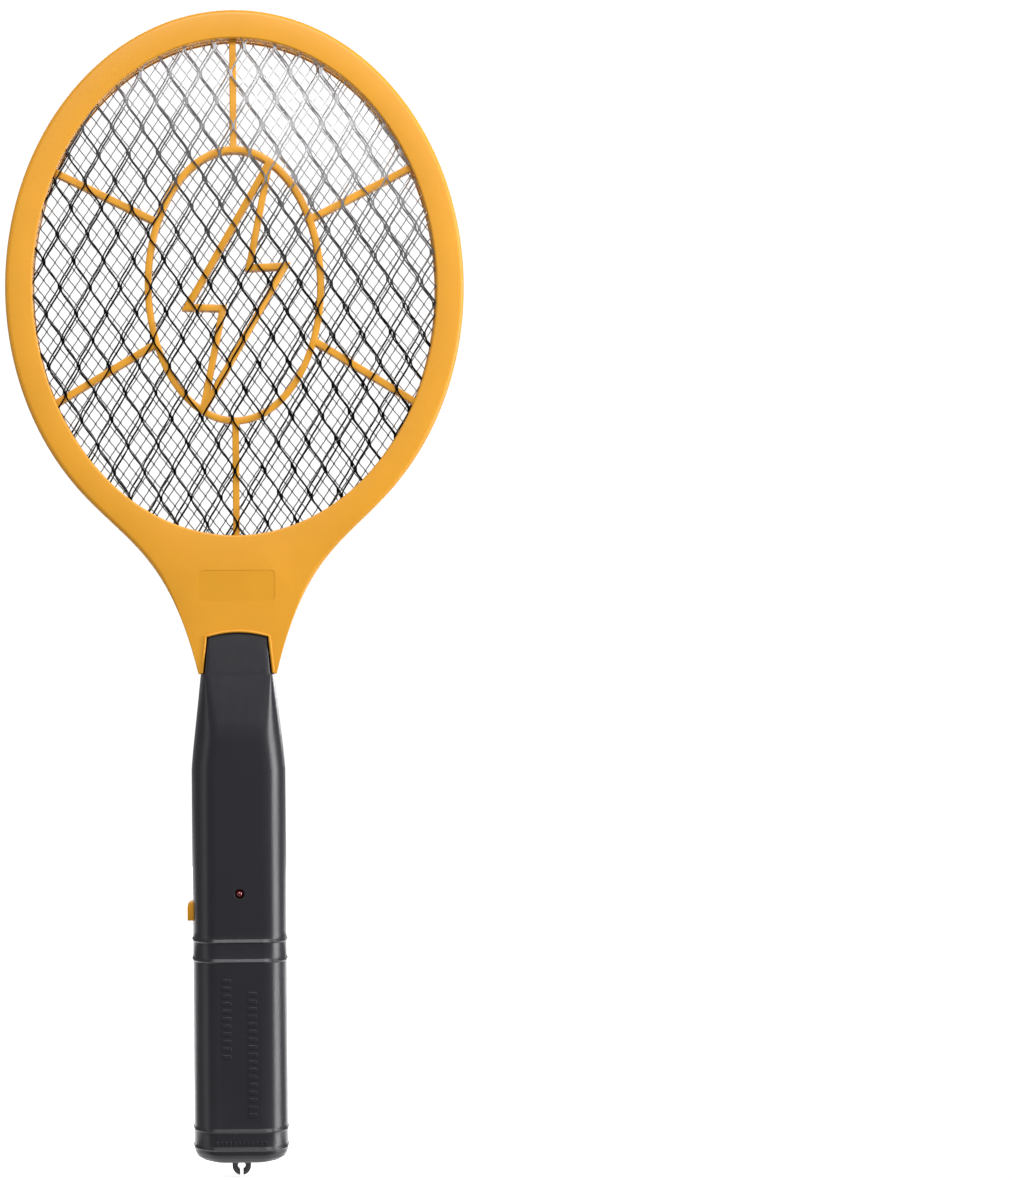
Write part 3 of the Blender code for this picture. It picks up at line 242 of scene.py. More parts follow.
# ---- materials
class Nodes:
    """A Principled material with small helpers for procedural detail."""

    def __init__(self, name, colour, roughness, metallic=0.0, **fixed):
        self.material = bpy.data.materials.new(name)
        self.material.use_nodes = True
        self.tree = self.material.node_tree
        self.shader = self.tree.nodes["Principled BSDF"]
        self.shader.inputs["Base Color"].default_value = (*colour, 1.0)
        self.shader.inputs["Roughness"].default_value = roughness
        self.shader.inputs["Metallic"].default_value = metallic
        for socket, value in fixed.items():
            self.shader.inputs[socket.replace("_", " ")].default_value = value
        self.place = self.node("ShaderNodeTexCoord").outputs["Object"]

    def node(self, kind, inputs=None, **settings):
        """A new node; each of its inputs given is either wired to another node's output or set."""
        made = self.tree.nodes.new(kind)
        for key, value in settings.items():
            setattr(made, key, value)
        for socket, value in (inputs or {}).items():
            if isinstance(value, bpy.types.NodeSocket):
                self.tree.links.new(value, made.inputs[socket])
            else:
                made.inputs[socket].default_value = value
        return made

    def noise(self, scale, detail=3.0, roughness=0.55, stretch=(1, 1, 1)):
        mapping = self.node("ShaderNodeMapping", {"Scale": stretch, "Vector": self.place})
        return self.node("ShaderNodeTexNoise", {
            "Scale": scale, "Detail": detail, "Roughness": roughness,
            "Vector": mapping.outputs["Vector"]}).outputs["Fac"]

    def ramp(self, source, stops):
        made = self.node("ShaderNodeValToRGB", {"Fac": source})
        elements = made.color_ramp.elements
        while len(elements) < len(stops):
            elements.new(0.5)
        for element, (position, colour) in zip(elements, stops):
            element.position = position
            element.color = (*colour, 1.0)
        return made.outputs["Color"]

    def span(self, source, low, high, from_low=0.3, from_high=0.7):
        return self.node("ShaderNodeMapRange", {
            "Value": source, "From Min": from_low, "From Max": from_high,
            "To Min": low, "To Max": high}).outputs["Result"]

    def mix(self, factor, first, second, blend="MIX"):
        return self.node("ShaderNodeMix", {"Factor": factor, "A": first, "B": second},
                         data_type="RGBA", blend_type=blend).outputs["Result"]

    def colour(self, source):
        self.tree.links.new(source, self.shader.inputs["Base Color"])

    def tint(self, source, dark, light):
        self.colour(self.ramp(source, [(0.3, dark), (0.7, light)]))

    def rough(self, source):
        self.tree.links.new(source, self.shader.inputs["Roughness"])

    def bump(self, *layers):
        """Stack bump layers, each (height, strength, distance)."""
        below = {}
        for height, strength, distance in layers:
            made = self.node("ShaderNodeBump", {"Height": height, "Strength": strength,
                                                "Distance": distance, **below})
            below = {"Normal": made.outputs["Normal"]}
        self.tree.links.new(below["Normal"], self.shader.inputs["Normal"])


def shade(colour, factor):
    return tuple(min(1.0, c * factor) for c in colour)


def moulded_plastic(name, colour, roughness, grain, **fixed):
    """Injection-moulded plastic: fine spark texture, faint flow clouds, handling marks."""
    nodes = Nodes(name, colour, roughness, **fixed)
    clouds = nodes.noise(38, 4)
    nodes.tint(clouds, shade(colour, 0.955), shade(colour, 1.035))
    marks = nodes.noise(260, 3, stretch=(1, 1, 0.35))
    nodes.rough(nodes.span(marks, roughness - 0.015, roughness + 0.02))
    nodes.bump((nodes.noise(60, 2), 0.05, 0.0006), (nodes.noise(5200, 2, 0.7), grain, 0.00006))
    return nodes.material


def net_wire(name, shaded_tone, lit_tone, roughness):
    """Slit and stretched sheet: drawn streaks, and a painted sheen that colours the metal from a near-black
    shaded tone to a bright lit tone towards one side.
    """
    nodes = Nodes(name, shaded_tone, roughness, 1.0)
    streaks = nodes.noise(900, 3, stretch=(1, 1, 0.15))
    place = nodes.node("ShaderNodeVectorMath", {0: nodes.place, 1: PAINTED_SHEEN_DIRECTION},
                       operation="DOT_PRODUCT")
    patchy = nodes.node("ShaderNodeMath", {0: nodes.noise(22, 3), 1: 0.05, 2: place.outputs["Value"]},
                        operation="MULTIPLY_ADD")
    # painted sheen: the colour ramps from the shaded tone to the lit tone along the sheen direction
    sheen_level = nodes.span(patchy.outputs["Value"], 0, 1, *PAINTED_SHEEN_SPAN)
    painted_sheen_colour = nodes.ramp(sheen_level, [(0.0, shaded_tone), (0.4, shade(shaded_tone, 2.0)),
                             (0.7, shade(lit_tone, 0.3)), (1.0, lit_tone)])
    streaky = nodes.ramp(streaks, [(0.3, (0.72,) * 3), (0.7, (1.0,) * 3)])
    nodes.colour(nodes.mix(1.0, painted_sheen_colour, streaky, "MULTIPLY"))
    nodes.rough(nodes.span(nodes.noise(2600, 2), roughness - 0.08, roughness + 0.14))
    nodes.bump((streaks, 0.25, 0.00006))
    return nodes.material


def plated_steel(name, colour, roughness):
    nodes = Nodes(name, colour, roughness, 1.0)
    spots = nodes.noise(1500, 3)
    nodes.colour(nodes.ramp(spots, [(0.35, shade(colour, 0.82)), (0.65, shade(colour, 1.12))]))
    nodes.rough(nodes.span(nodes.noise(700, 4), roughness - 0.08, roughness + 0.12))
    nodes.bump((nodes.noise(3500, 2), 0.12, 0.00003))
    return nodes.material


def lacquer(name, colour, roughness, scale=900, **fixed):
    """Small component bodies: dipped or taped, slightly uneven."""
    nodes = Nodes(name, colour, roughness, **fixed)
    cloud = nodes.noise(scale, 3)
    nodes.tint(cloud, shade(colour, 0.85), shade(colour, 1.12))
    nodes.rough(nodes.span(cloud, roughness - 0.05, roughness + 0.1))
    nodes.bump((nodes.noise(2.2 * scale, 2), 0.15, 0.00005))
    return nodes.material


def cell_sleeve(name):
    """Shrink sleeve with two plain bands and no lettering."""
    nodes = Nodes(name, (0.05, 0.2, 0.11), 0.28, Coat_Weight=0.4, Coat_Roughness=0.15)
    split = nodes.node("ShaderNodeSeparateXYZ", {"Vector": nodes.place})
    low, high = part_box("battery_cell_left")
    height = nodes.span(split.outputs["Z"], 0, 1, low.z, high.z)
    green, white, black = (0.045, 0.19, 0.10), (0.62, 0.62, 0.60), (0.02, 0.02, 0.022)
    nodes.colour(nodes.ramp(height, [(0.0, green), (0.66, green), (0.67, white), (0.70, white),
                                     (0.71, black), (1.0, black)]))
    nodes.rough(nodes.span(nodes.noise(300, 3), 0.22, 0.36))
    nodes.bump((nodes.noise(700, 2), 0.08, 0.00006))
    return nodes.material


def circuit_board(name):
    """Brown phenolic board with darker copper tracks under the lacquer."""
    nodes = Nodes(name, (0.52, 0.36, 0.15), 0.5)
    fibre = nodes.noise(1400, 4, stretch=(1, 1, 0.2))
    base = nodes.ramp(fibre, [(0.3, (0.42, 0.28, 0.11)), (0.7, (0.58, 0.42, 0.19))])
    tracks = nodes.node("ShaderNodeTexVoronoi", {"Scale": 190, "Vector": nodes.place},
                        feature="DISTANCE_TO_EDGE")
    mask = nodes.span(tracks.outputs["Distance"], 1, 0, 0.10, 0.13)
    nodes.colour(nodes.mix(mask, base, (0.30, 0.22, 0.06, 1)))
    nodes.bump((mask, 0.3, 0.00004), (fibre, 0.1, 0.00003))
    return nodes.material


def red_lens(name):
    nodes = Nodes(name, (0.10, 0.003, 0.006), 0.05, IOR=1.52, Transmission_Weight=0.15,
                  Coat_Weight=1.0, Coat_Roughness=0.02)
    swirl = nodes.noise(900, 2)
    nodes.tint(swirl, (0.08, 0.003, 0.005), (0.16, 0.006, 0.01))
    nodes.bump((nodes.noise(1500, 1), 0.04, 0.00004))
    return nodes.material


# Painted sheen on the nets: the direction and span over which their colour brightens towards the upper
# right, standing in for the light the metal catches there.
PAINTED_SHEEN_DIRECTION = (0.42, 0.0, 0.91)
PAINTED_SHEEN_SPAN = (0.300, 0.410)
ORANGE = (0.690, 0.308, 0.012)
BLACK = (0.0185, 0.0185, 0.0225)
MATERIALS = {
    "orange_plastic": moulded_plastic("orange plastic", ORANGE, 0.46, 0.22,
                                      Subsurface_Weight=0.12, Subsurface_Scale=0.002,
                                      Subsurface_Radius=(1.0, 0.45, 0.12)),
    "label_panel": moulded_plastic("label panel", shade(ORANGE, 0.95), 0.40, 0.10),
    "black_plastic": moulded_plastic("black plastic", BLACK, 0.29, 0.34, Specular_IOR_Level=0.42),
    # each net's shaded and lit tones of its painted sheen
    "net_metal": net_wire("net metal", (0.010, 0.010, 0.011), (0.72, 0.72, 0.73), 0.36),
    "middle_net": net_wire("middle net metal", (0.22, 0.215, 0.21), (0.95, 0.95, 0.95), 0.42),
    "steel": plated_steel("plated steel", (0.62, 0.62, 0.63), 0.28),
    "red_lens": red_lens("red lens"),
    "board": circuit_board("circuit board"),
    "ferrite": lacquer("ferrite", (0.045, 0.045, 0.05), 0.55, 1800),
    "winding_tape": lacquer("winding tape", (0.72, 0.50, 0.06), 0.35, 500),
    "film_capacitor": lacquer("film capacitor", (0.42, 0.06, 0.025), 0.3, 400, Coat_Weight=0.3),
    "disc_capacitor": lacquer("disc capacitor", (0.05, 0.17, 0.5), 0.38, 800),
    "component_black": lacquer("component black", (0.025, 0.025, 0.026), 0.45, 1500),
    "resistor_body": lacquer("resistor body", (0.42, 0.55, 0.62), 0.35, 900),
    "cell_sleeve": cell_sleeve("cell sleeve"),
    "red_wire": lacquer("red wire", (0.58, 0.03, 0.025), 0.4, 700),
    "black_wire": lacquer("black wire", (0.02, 0.02, 0.02), 0.4, 700),
}


# ---- mesh building
def add_object(name, data):
    obj = bpy.data.objects.new(name, data)
    bpy.context.scene.collection.objects.link(obj)
    return obj


def make_object(name, bm, angle=32):
    bmesh.ops.recalc_face_normals(bm, faces=bm.faces[:])
    mesh = bpy.data.meshes.new(name)
    bm.to_mesh(mesh)
    bm.free()
    mesh.shade_smooth()
    mesh.set_sharp_from_angle(angle=math.radians(angle))
    return add_object(name, mesh)


def skin(bm, rings):
    """Faces between each ring of vertices and the next."""
    for low, high in zip(rings, rings[1:]):
        for i in range(len(low)):
            bm.faces.new((low[i - 1], low[i], high[i], high[i - 1]))


def edges_of(bm, ring):
    return [bm.edges.get((ring[i - 1], ring[i])) for i in range(len(ring))]


def loft(name, sections, angle=32):
    bm = bmesh.new()
    rings = [[bm.verts.new(point) for point in section] for section in sections]
    skin(bm, rings)
    bm.faces.new(rings[0])
    bm.faces.new(rings[-1])
    return make_object(name, bm, angle)


def on_axis(point, level, axis):
    """A flat outline's point at a level along an axis."""
    first, second = point
    return Vector({"X": (level, first, second), "Y": (first, level, second),
                   "Z": (first, second, level)}[axis])


def plate(name, outline, span, holes=(), axis="Y"):
    """A flat outline with holes, extruded along an axis between two levels."""
    bm = bmesh.new()
    edges = []
    for loop in (outline, *holes):
        verts = [bm.verts.new(on_axis(point, span[0], axis)) for point in loop]
        edges += [bm.edges.new((verts[i - 1], verts[i])) for i in range(len(verts))]
    bmesh.ops.triangle_fill(bm, edges=edges, use_beauty=True)
    grown = bmesh.ops.extrude_face_region(bm, geom=bm.faces[:])
    lifted = [item for item in grown["geom"] if isinstance(item, bmesh.types.BMVert)]
    bmesh.ops.translate(bm, verts=lifted, vec=on_axis((0, 0), span[1] - span[0], axis))
    return make_object(name, bm)


def rounded_plate(name, outline, span, radius, steps=3):
    """A plate whose outer edges are rounded on both faces."""
    bm = bmesh.new()
    low, high = span
    turns = [math.pi / 2 * k / steps for k in range(steps + 1)]
    levels = [(low + radius * (1 - math.sin(a)), radius * (1 - math.cos(a))) for a in turns[::-1]]
    levels += [(high - radius * (1 - math.sin(a)), radius * (1 - math.cos(a))) for a in turns]
    rings = [[bm.verts.new(on_axis(point, level, "Y")) for point in inset(outline, shrink)]
             for level, shrink in levels]
    skin(bm, rings)
    for ring in (rings[0], rings[-1]):
        bmesh.ops.triangle_fill(bm, edges=edges_of(bm, ring), use_beauty=True)
    return make_object(name, bm)


def box(name, low, high):
    outline = [(low[0], low[1]), (high[0], low[1]), (high[0], high[1]), (low[0], high[1])]
    return plate(name, outline, (low[2], high[2]), axis="Z")


def turned(name, profile, origin, axis, sides):
    """A solid of revolution from a profile of (radius, height), its axis through the origin given."""
    sections = []
    for radius, height in profile:
        ring = []
        for k in range(sides):
            turn = 2 * math.pi * k / sides
            u, v = radius * math.cos(turn), radius * math.sin(turn)
            local = {"X": (height, u, v), "Y": (u, height, v), "Z": (u, v, height)}[axis]
            ring.append([a + b for a, b in zip(local, origin)])
        sections.append(ring)
    return loft(name, sections)


def tube(name, points, radius, sides=12):
    """A round bar swept along a path of points, with flat ends."""
    points = [Vector(p) for p in points]
    sections = []
    side = None
    for i, point in enumerate(points):
        along = (points[min(i + 1, len(points) - 1)] - points[max(i - 1, 0)]).normalized()
        if side is None:
            side = along.orthogonal().normalized()
        side = (side - along * side.dot(along)).normalized()
        third = along.cross(side)
        sections.append([point + radius * (side * math.cos(a) + third * math.sin(a))
                         for a in np.linspace(0, 2 * math.pi, sides, endpoint=False)])
    return loft(name, sections, 60)


def join(name, objects):
    bm = bmesh.new()
    for obj in objects:
        bm.from_mesh(obj.data)
        bpy.data.objects.remove(obj, do_unlink=True)
    return make_object(name, bm)


def apply_modifiers(obj, angle=32):
    """Replace the mesh by what its modifiers make of it."""
    depsgraph = bpy.context.evaluated_depsgraph_get()
    mesh = bpy.data.meshes.new_from_object(obj.evaluated_get(depsgraph))
    obj.modifiers.clear()
    obj.data = mesh
    mesh.shade_smooth()
    mesh.set_sharp_from_angle(angle=math.radians(angle))


def combine(obj, operation, *tools):
    """Cut tools from a piece, or unite them with it; the tools are used up."""
    for tool in tools:
        modifier = obj.modifiers.new(operation, "BOOLEAN")
        modifier.operation = operation
        modifier.solver = "EXACT"
        modifier.object = tool
    bpy.context.view_layer.update()
    apply_modifiers(obj)
    for tool in tools:
        bpy.data.objects.remove(tool, do_unlink=True)


def round_edges(obj, width, segments):
    modifier = obj.modifiers.new("round", "BEVEL")
    modifier.width = width
    modifier.segments = segments
    modifier.limit_method = "ANGLE"
    modifier.angle_limit = math.radians(28)
    bpy.context.view_layer.update()
    apply_modifiers(obj)


def settle(obj, body, slot, *nodes, material=None):
    """Give a finished piece the material of its slot and its body, and hide the CAD nodes it stands for."""
    obj.data.materials.clear()
    obj.data.materials.append(MATERIALS[material or slot])
    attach(obj, body)
    if nodes:
        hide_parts(*nodes)


# ---- flat outlines
def corner_shifts(loop):
    """For each point of a closed outline, the step that insets its sides by one metre."""
    points = np.array(loop, float)
    following = np.roll(points, -1, axis=0)
    area = np.sum(points[:, 0] * following[:, 1] - following[:, 0] * points[:, 1])
    sides = following - points
    sides /= np.linalg.norm(sides, axis=1)[:, None]
    normals = np.stack([-sides[:, 1], sides[:, 0]], axis=1) * np.sign(area)
    mitre = np.roll(normals, 1, axis=0) + normals
    return mitre * (2 / np.sum(mitre * mitre, axis=1))[:, None]


def inset(loop, distance):
    distance = np.broadcast_to(distance, len(loop))
    return np.array(loop, float) + distance[:, None] * corner_shifts(loop)


def ellipse(half_width, half_height, centre=HEAD_CENTRE, count=160):
    angles = [2 * math.pi * k / count for k in range(count)]
    return [(centre[0] + half_width * math.sin(a), centre[1] + half_height * math.cos(a))
            for a in angles]


def bezier(control, t):
    p0, p1, p2, p3 = (np.array(p) for p in control)
    s = 1 - t
    return p0 * s ** 3 + 3 * p1 * s * s * t + 3 * p2 * s * t * t + p3 * t ** 3


def mirrored(half):
    left = [(-x, z) for x, z in half[-2:0:-1]]
    return [tuple(point) for point in half] + left


def arch(half_width, corner_z, rise, steps=10):
    stops = [half_width * (1 - k / steps) for k in range(steps + 1)]
    return [(x, corner_z + rise * (1 - (x / half_width) ** 2)) for x in stops]


def rounded_rectangle(width, height, centre, radius, steps=5):
    points = []
    for sx, sz, start in ((1, 1, 0), (-1, 1, 1), (-1, -1, 2), (1, -1, 3)):
        middle = (centre[0] + sx * (width / 2 - radius), centre[1] + sz * (height / 2 - radius))
        for k in range(steps + 1):
            angle = math.pi / 2 * (start + k / steps)
            points.append((middle[0] + radius * math.cos(angle), middle[1] + radius * math.sin(angle)))
    return points


def unit(vector):
    return vector / np.linalg.norm(vector)


def smoothstep(value, low, high):
    t = np.clip((np.asarray(value, float) - low) / (high - low), 0, 1)
    return t * t * (3 - 2 * t)


# ---- head
def head_outline(ring_steps=72, flare_steps=28):
    half = []
    for k in range(ring_steps):
        angle = FLARE_START_ANGLE * k / ring_steps
        half.append((HEAD_HALF_WIDTH * math.sin(angle),
                     HEAD_CENTRE[1] + HEAD_HALF_HEIGHT * math.cos(angle)))
    half += [tuple(bezier(FLARE_CURVE, k / flare_steps)) for k in range(flare_steps + 1)]
    half.append((NOTCH_TIP_HALF_WIDTH, FLARE_CURVE[-1][1]))
    tip, top = np.array(half[-1]), np.array((NOTCH_TOP_HALF_WIDTH, NOTCH_CORNER_Z))
    half += [tuple(tip + (top - tip) * k / 4) for k in (1, 2, 3)]
    half += arch(NOTCH_TOP_HALF_WIDTH, NOTCH_CORNER_Z, NOTCH_ARCH_RISE)
    return mirrored(half)


def cavity_outline():
    half = []
    for x, z in inset(head_outline(), WALL):
        if x < 0 or z < NECK_CAVITY_FLOOR_Z + WALL:
            break
        half.append((x, z))
    floor_x = half[-1][0] - WALL
    return mirrored(half + [(floor_x, NECK_CAVITY_FLOOR_Z), (0.0, NECK_CAVITY_FLOOR_Z)])


def wall(bm, side, *levels):
    """Skin equal loops of (x, depth, z); returns the first and last loops' edges."""
    rings = [[bm.verts.new((x, side * y, z)) for x, y, z in loop] for loop in levels]
    skin(bm, rings)
    return edges_of(bm, rings[0]), edges_of(bm, rings[-1])


def at_depth(loop, depth):
    depths = np.broadcast_to(depth, len(loop))
    return [(x, y, z) for (x, z), y in zip(loop, depths)]


def rounded_levels(loop, radius, face, steps=6):
    """Levels of a quarter-round edge from the loop's side up to the face."""
    levels = []
    for k in range(steps + 1):
        turn = math.pi / 2 * k / steps
        levels.append(at_depth(inset(loop, radius * (1 - math.cos(turn))),
                               face - radius * (1 - math.sin(turn))))
    return levels


def screw_spots(names):
    spots = []
    for name in names:
        low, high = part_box(name)
        spots.append(((low.x + high.x) / 2, (low.z + high.z) / 2))
    return spots


def screw_hole_cutter(name, spots, head_y, outside_y):
    profile = ((POST_HOLE_RADIUS, PARTING + WALL), (POST_HOLE_RADIUS, head_y - GAP),
               (SCREW_RECESS_RADIUS, head_y - GAP), (SCREW_RECESS_RADIUS, outside_y + OVERSHOOT))
    return join(name, [turned(f"{name}_{i}", profile, (x, 0, z), "Y", 32)
                       for i, (x, z) in enumerate(spots)])


def notch_lip(side):
    """Raised lip round the notch that takes the handle's tongue."""
    start = np.array((NOTCH_TIP_HALF_WIDTH, FLARE_CURVE[-1][1] + LIP_START))
    end = np.array((NOTCH_TOP_HALF_WIDTH, NOTCH_CORNER_Z))
    path = [tuple(start + (end - start) * k / 6) for k in range(6)]
    path += arch(NOTCH_TOP_HALF_WIDTH, NOTCH_CORNER_Z, NOTCH_ARCH_RISE)
    path += [(-x, z) for x, z in path[-2::-1]]
    shifted = []
    for i, point in enumerate(path):
        along = unit(np.subtract(path[min(i + 1, len(path) - 1)], path[max(i - 1, 0)]))
        x, z = point - np.array([along[1], -along[0]]) * LIP_OVERHANG
        shifted.append((x, side * (HEAD_HALF_DEPTH - LIP_SINK), z))
    return tube("lip", shifted, LIP_RADIUS, 12)


def build_head_shell(name, side):
    """One ring-shaped shell of the head; side is -1 for the front and 1 for the rear."""
    face = HEAD_HALF_DEPTH
    inner = face - FLANGE
    outline = head_outline()
    heights = np.array(outline)[:, 1]
    radius = NOTCH_ROUND + (EDGE_ROUND - NOTCH_ROUND) * smoothstep(heights, *ROUND_GROWS_Z)
    cavity = cavity_outline()
    opening = ellipse(OPENING_HALF_WIDTH, OPENING_HALF_HEIGHT)
    bm = bmesh.new()
    outside = wall(bm, side, at_depth(inset(outline, SEAM_CREASE), PARTING),
                   at_depth(outline, PARTING + SEAM_CREASE), *rounded_levels(outline, radius, face))
    rounding = [at_depth(ellipse(OPENING_HALF_WIDTH + r, OPENING_HALF_HEIGHT + r), y)
                for r, y in ((RIM_ROUND * (1 - math.sin(a)), face - RIM_ROUND * (1 - math.cos(a)))
                             for a in np.linspace(0, math.pi / 2, 5))]
    rim = wall(bm, side, *rounding, at_depth(opening, inner))
    inside = wall(bm, side, at_depth(cavity, inner), at_depth(cavity, PARTING))
    for first, second in ((outside[1], rim[0]), (rim[1], inside[0]), (inside[1], outside[0])):
        bmesh.ops.triangle_fill(bm, edges=first + second, use_beauty=True)
    shell = make_object(name, bm)
    combine(shell, "UNION", notch_lip(side))
    if side < 0:
        width, height, middle_z, depth = LABEL_RECESS
        panel = plate("label", rounded_rectangle(width, height, (0, middle_z), LABEL_CORNER),
                      (-face - OVERSHOOT, -face + depth))
        combine(shell, "DIFFERENCE", panel)
        recessed = depth - face
    else:
        combine(shell, "DIFFERENCE",
                screw_hole_cutter("screw_holes", screw_spots(HEAD_SCREWS), inner, face))
    settle(shell, "root", "orange_plastic", name.replace("visual_", ""))
    if side < 0:
        shell.data.materials.append(MATERIALS["label_panel"])
        for polygon in shell.data.polygons:
            centre = polygon.center
            if abs(centre.y - recessed) < 1e-6 and abs(centre.z - middle_z) < height:
                polygon.material_index = 1


def build_net(node, bond_at, material, across, up, width, bond, steps, thickness, twist):
    """An expanded metal net: short bonds joined by S-shaped strands, in one sheet."""
    across, up = np.array(across), np.array(up)
    right, upward = unit(across), unit(up)
    reach = np.array((OPENING_HALF_WIDTH, OPENING_HALF_HEIGHT)) + NET_REACH * CLAMPED_EDGE
    bm = bmesh.new()
    found = {}

    def vertex(key, point, depth):
        if key not in found:
            found[key] = bm.verts.new((point[0], depth, point[1]))
        return found[key], point

    def inside(point):
        return np.sum(((point - HEAD_CENTRE) / reach) ** 2) < 1

    def bond_corner(column, row, end, place):
        centre = bond_at + column * across / 2 + row * up / 2
        point = centre + right * place * width + upward * end * bond / 2
        return vertex((column, row, end, place), point, 0.0)

    def face(*corners):
        if all(inside(point) for _, point in corners):
            bm.faces.new([vert for vert, _ in corners])

    def strand(column, row, lean):
        """The strand from a bond's upper end to the lower end of the next row's bond."""
        places = ((-1, 0), (0, 1)) if lean < 0 else ((0, 1), (-1, 0))
        start = [bond_corner(column, row, 1, place) for place in places[0]]
        far = [bond_corner(column + lean, row + 1, -1, place) for place in places[1]]
        previous = start
        for k in range(1, steps + 1):
            t = k / steps
            sideways = smoothstep(t, 0, 1) * STRAND_BEND + t * (1 - STRAND_BEND)
            ends = [s + upward * np.dot(f - s, upward) * t + right * np.dot(f - s, right) * sideways
                    for (_, s), (_, f) in zip(start, far)]
            middle = (ends[0] + ends[1]) / 2
            swell = 1 + STRAND_SWELL * math.sin(math.pi * t)
            lift = lean * twist * math.sin(math.pi * t)
            pair = far if k == steps else [
                vertex((column, row, lean, k, which), middle + (end - middle) * swell,
                       (2 * which - 1) * lift) for which, end in enumerate(ends)]
            face(previous[0], previous[1], pair[1], pair[0])
            previous = pair

    columns = 2 * math.ceil(2 * HEAD_HALF_WIDTH / np.linalg.norm(across)) + 4
    rows = 2 * math.ceil(2 * HEAD_HALF_HEIGHT / np.linalg.norm(up)) + 4
    for row in range(-rows, rows + 1):
        for column in range(-columns, columns + 1):
            centre = bond_at + column * across / 2 + row * up / 2
            near = any(inside(centre + shift * up / 2) for shift in (-1, 0, 1))
            if (row + column) % 2 or not near:
                continue
            for left in (-1, 0):
                face(*(bond_corner(column, row, end, place) for end, place in
                       ((-1, left), (-1, left + 1), (1, left + 1), (1, left))))
            for lean in (-1, 1):
                strand(column, row, lean)
    bmesh.ops.delete(bm, geom=[v for v in bm.verts if not v.link_faces], context="VERTS")
    low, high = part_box(node)
    bmesh.ops.translate(bm, verts=bm.verts[:], vec=(0, (low.y + high.y) / 2, 0))
    for polygon in bm.faces:
        if polygon.normal.y > 0:
            polygon.normal_flip()
    mesh = bpy.data.meshes.new(f"visual_{node}")
    bm.to_mesh(mesh)
    bm.free()
    net = add_object(f"visual_{node}", mesh)
    solid = net.modifiers.new("sheet", "SOLIDIFY")
    solid.thickness = thickness
    solid.offset = 0.0
    bpy.context.view_layer.update()
    apply_modifiers(net, 40)
    settle(net, "root", "net_metal", node, material=material)


def line_on_oval(point, direction, half_width, half_height, centre):
    px, pz = (point[0] - centre[0]) / half_width, (point[1] - centre[1]) / half_height
    dx, dz = direction[0] / half_width, direction[1] / half_height
    a, b, c = dx * dx + dz * dz, px * dx + pz * dz, px * px + pz * pz - 1
    reach = (-b + math.sqrt(b * b - a * c)) / a
    return (point[0] + reach * direction[0], point[1] + reach * direction[1])


def oval_arc(start, end, half_width, half_height, centre, step=math.radians(3)):
    angles = [math.atan2((p[0] - centre[0]) / half_width, (p[1] - centre[1]) / half_height)
              for p in (start, end)]
    sweep = (angles[1] - angles[0]) % (2 * math.pi)
    count = max(2, round(sweep / step))
    return [(centre[0] + half_width * math.sin(angles[0] + sweep * k / count),
             centre[1] + half_height * math.cos(angles[0] + sweep * k / count))
            for k in range(count + 1)]


def spoke_sectors():
    half = RIB_WIDTH / 2
    rim = (OPENING_HALF_WIDTH + GAP, OPENING_HALF_HEIGHT + GAP, HEAD_CENTRE)
    oval = (RIB_OVAL[0] + half, RIB_OVAL[1] + half, RIB_OVAL_CENTRE)
    sectors = []
    for spoke, following in zip(SPOKES, SPOKES[1:] + SPOKES[:1]):
        corners = []
        for (outer, inner), turn in ((spoke, 1), (following, -1)):
            outer, inner = np.array(outer) + RIB_OVAL_CENTRE, np.array(inner) + RIB_OVAL_CENTRE
            along = unit(outer - inner)
            side = turn * half * np.array([along[1], -along[0]])
            corners += [line_on_oval(inner + side, along, *edge) for edge in (rim, oval)]
        rim_arc = oval_arc(corners[0], corners[2], *rim)
        sectors.append(rim_arc + oval_arc(corners[1], corners[3], *oval)[::-1])
    return sectors


def bolt_openings():
    half = RIB_WIDTH / 2
    oval = (RIB_OVAL[0] - half, RIB_OVAL[1] - half, RIB_OVAL_CENTRE)
    top, left_knee, left_heel, bottom, right_knee, right_heel = [tuple(p) for p in inset(BOLT, -half)]
    openings = []
    for first, knee, heel, last in ((top, left_knee, left_heel, bottom),
                                    (bottom, right_knee, right_heel, top)):
        start = line_on_oval(knee, np.subtract(first, knee), *oval)
        end = line_on_oval(heel, np.subtract(last, heel), *oval)
        openings.append(oval_arc(end, start, *oval) + [knee, heel])
    openings.append([tuple(p) for p in inset(BOLT, half)])
    return openings


def build_rib_frame(node):
    low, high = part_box(node)
    rim = ellipse(OPENING_HALF_WIDTH + CLAMPED_EDGE, OPENING_HALF_HEIGHT + CLAMPED_EDGE)
    ribs = plate(f"visual_{node}", rim, (low.y, high.y), spoke_sectors() + bolt_openings())
    round_edges(ribs, RIB_ROUND, 2)
    settle(ribs, "root", "orange_plastic", node)


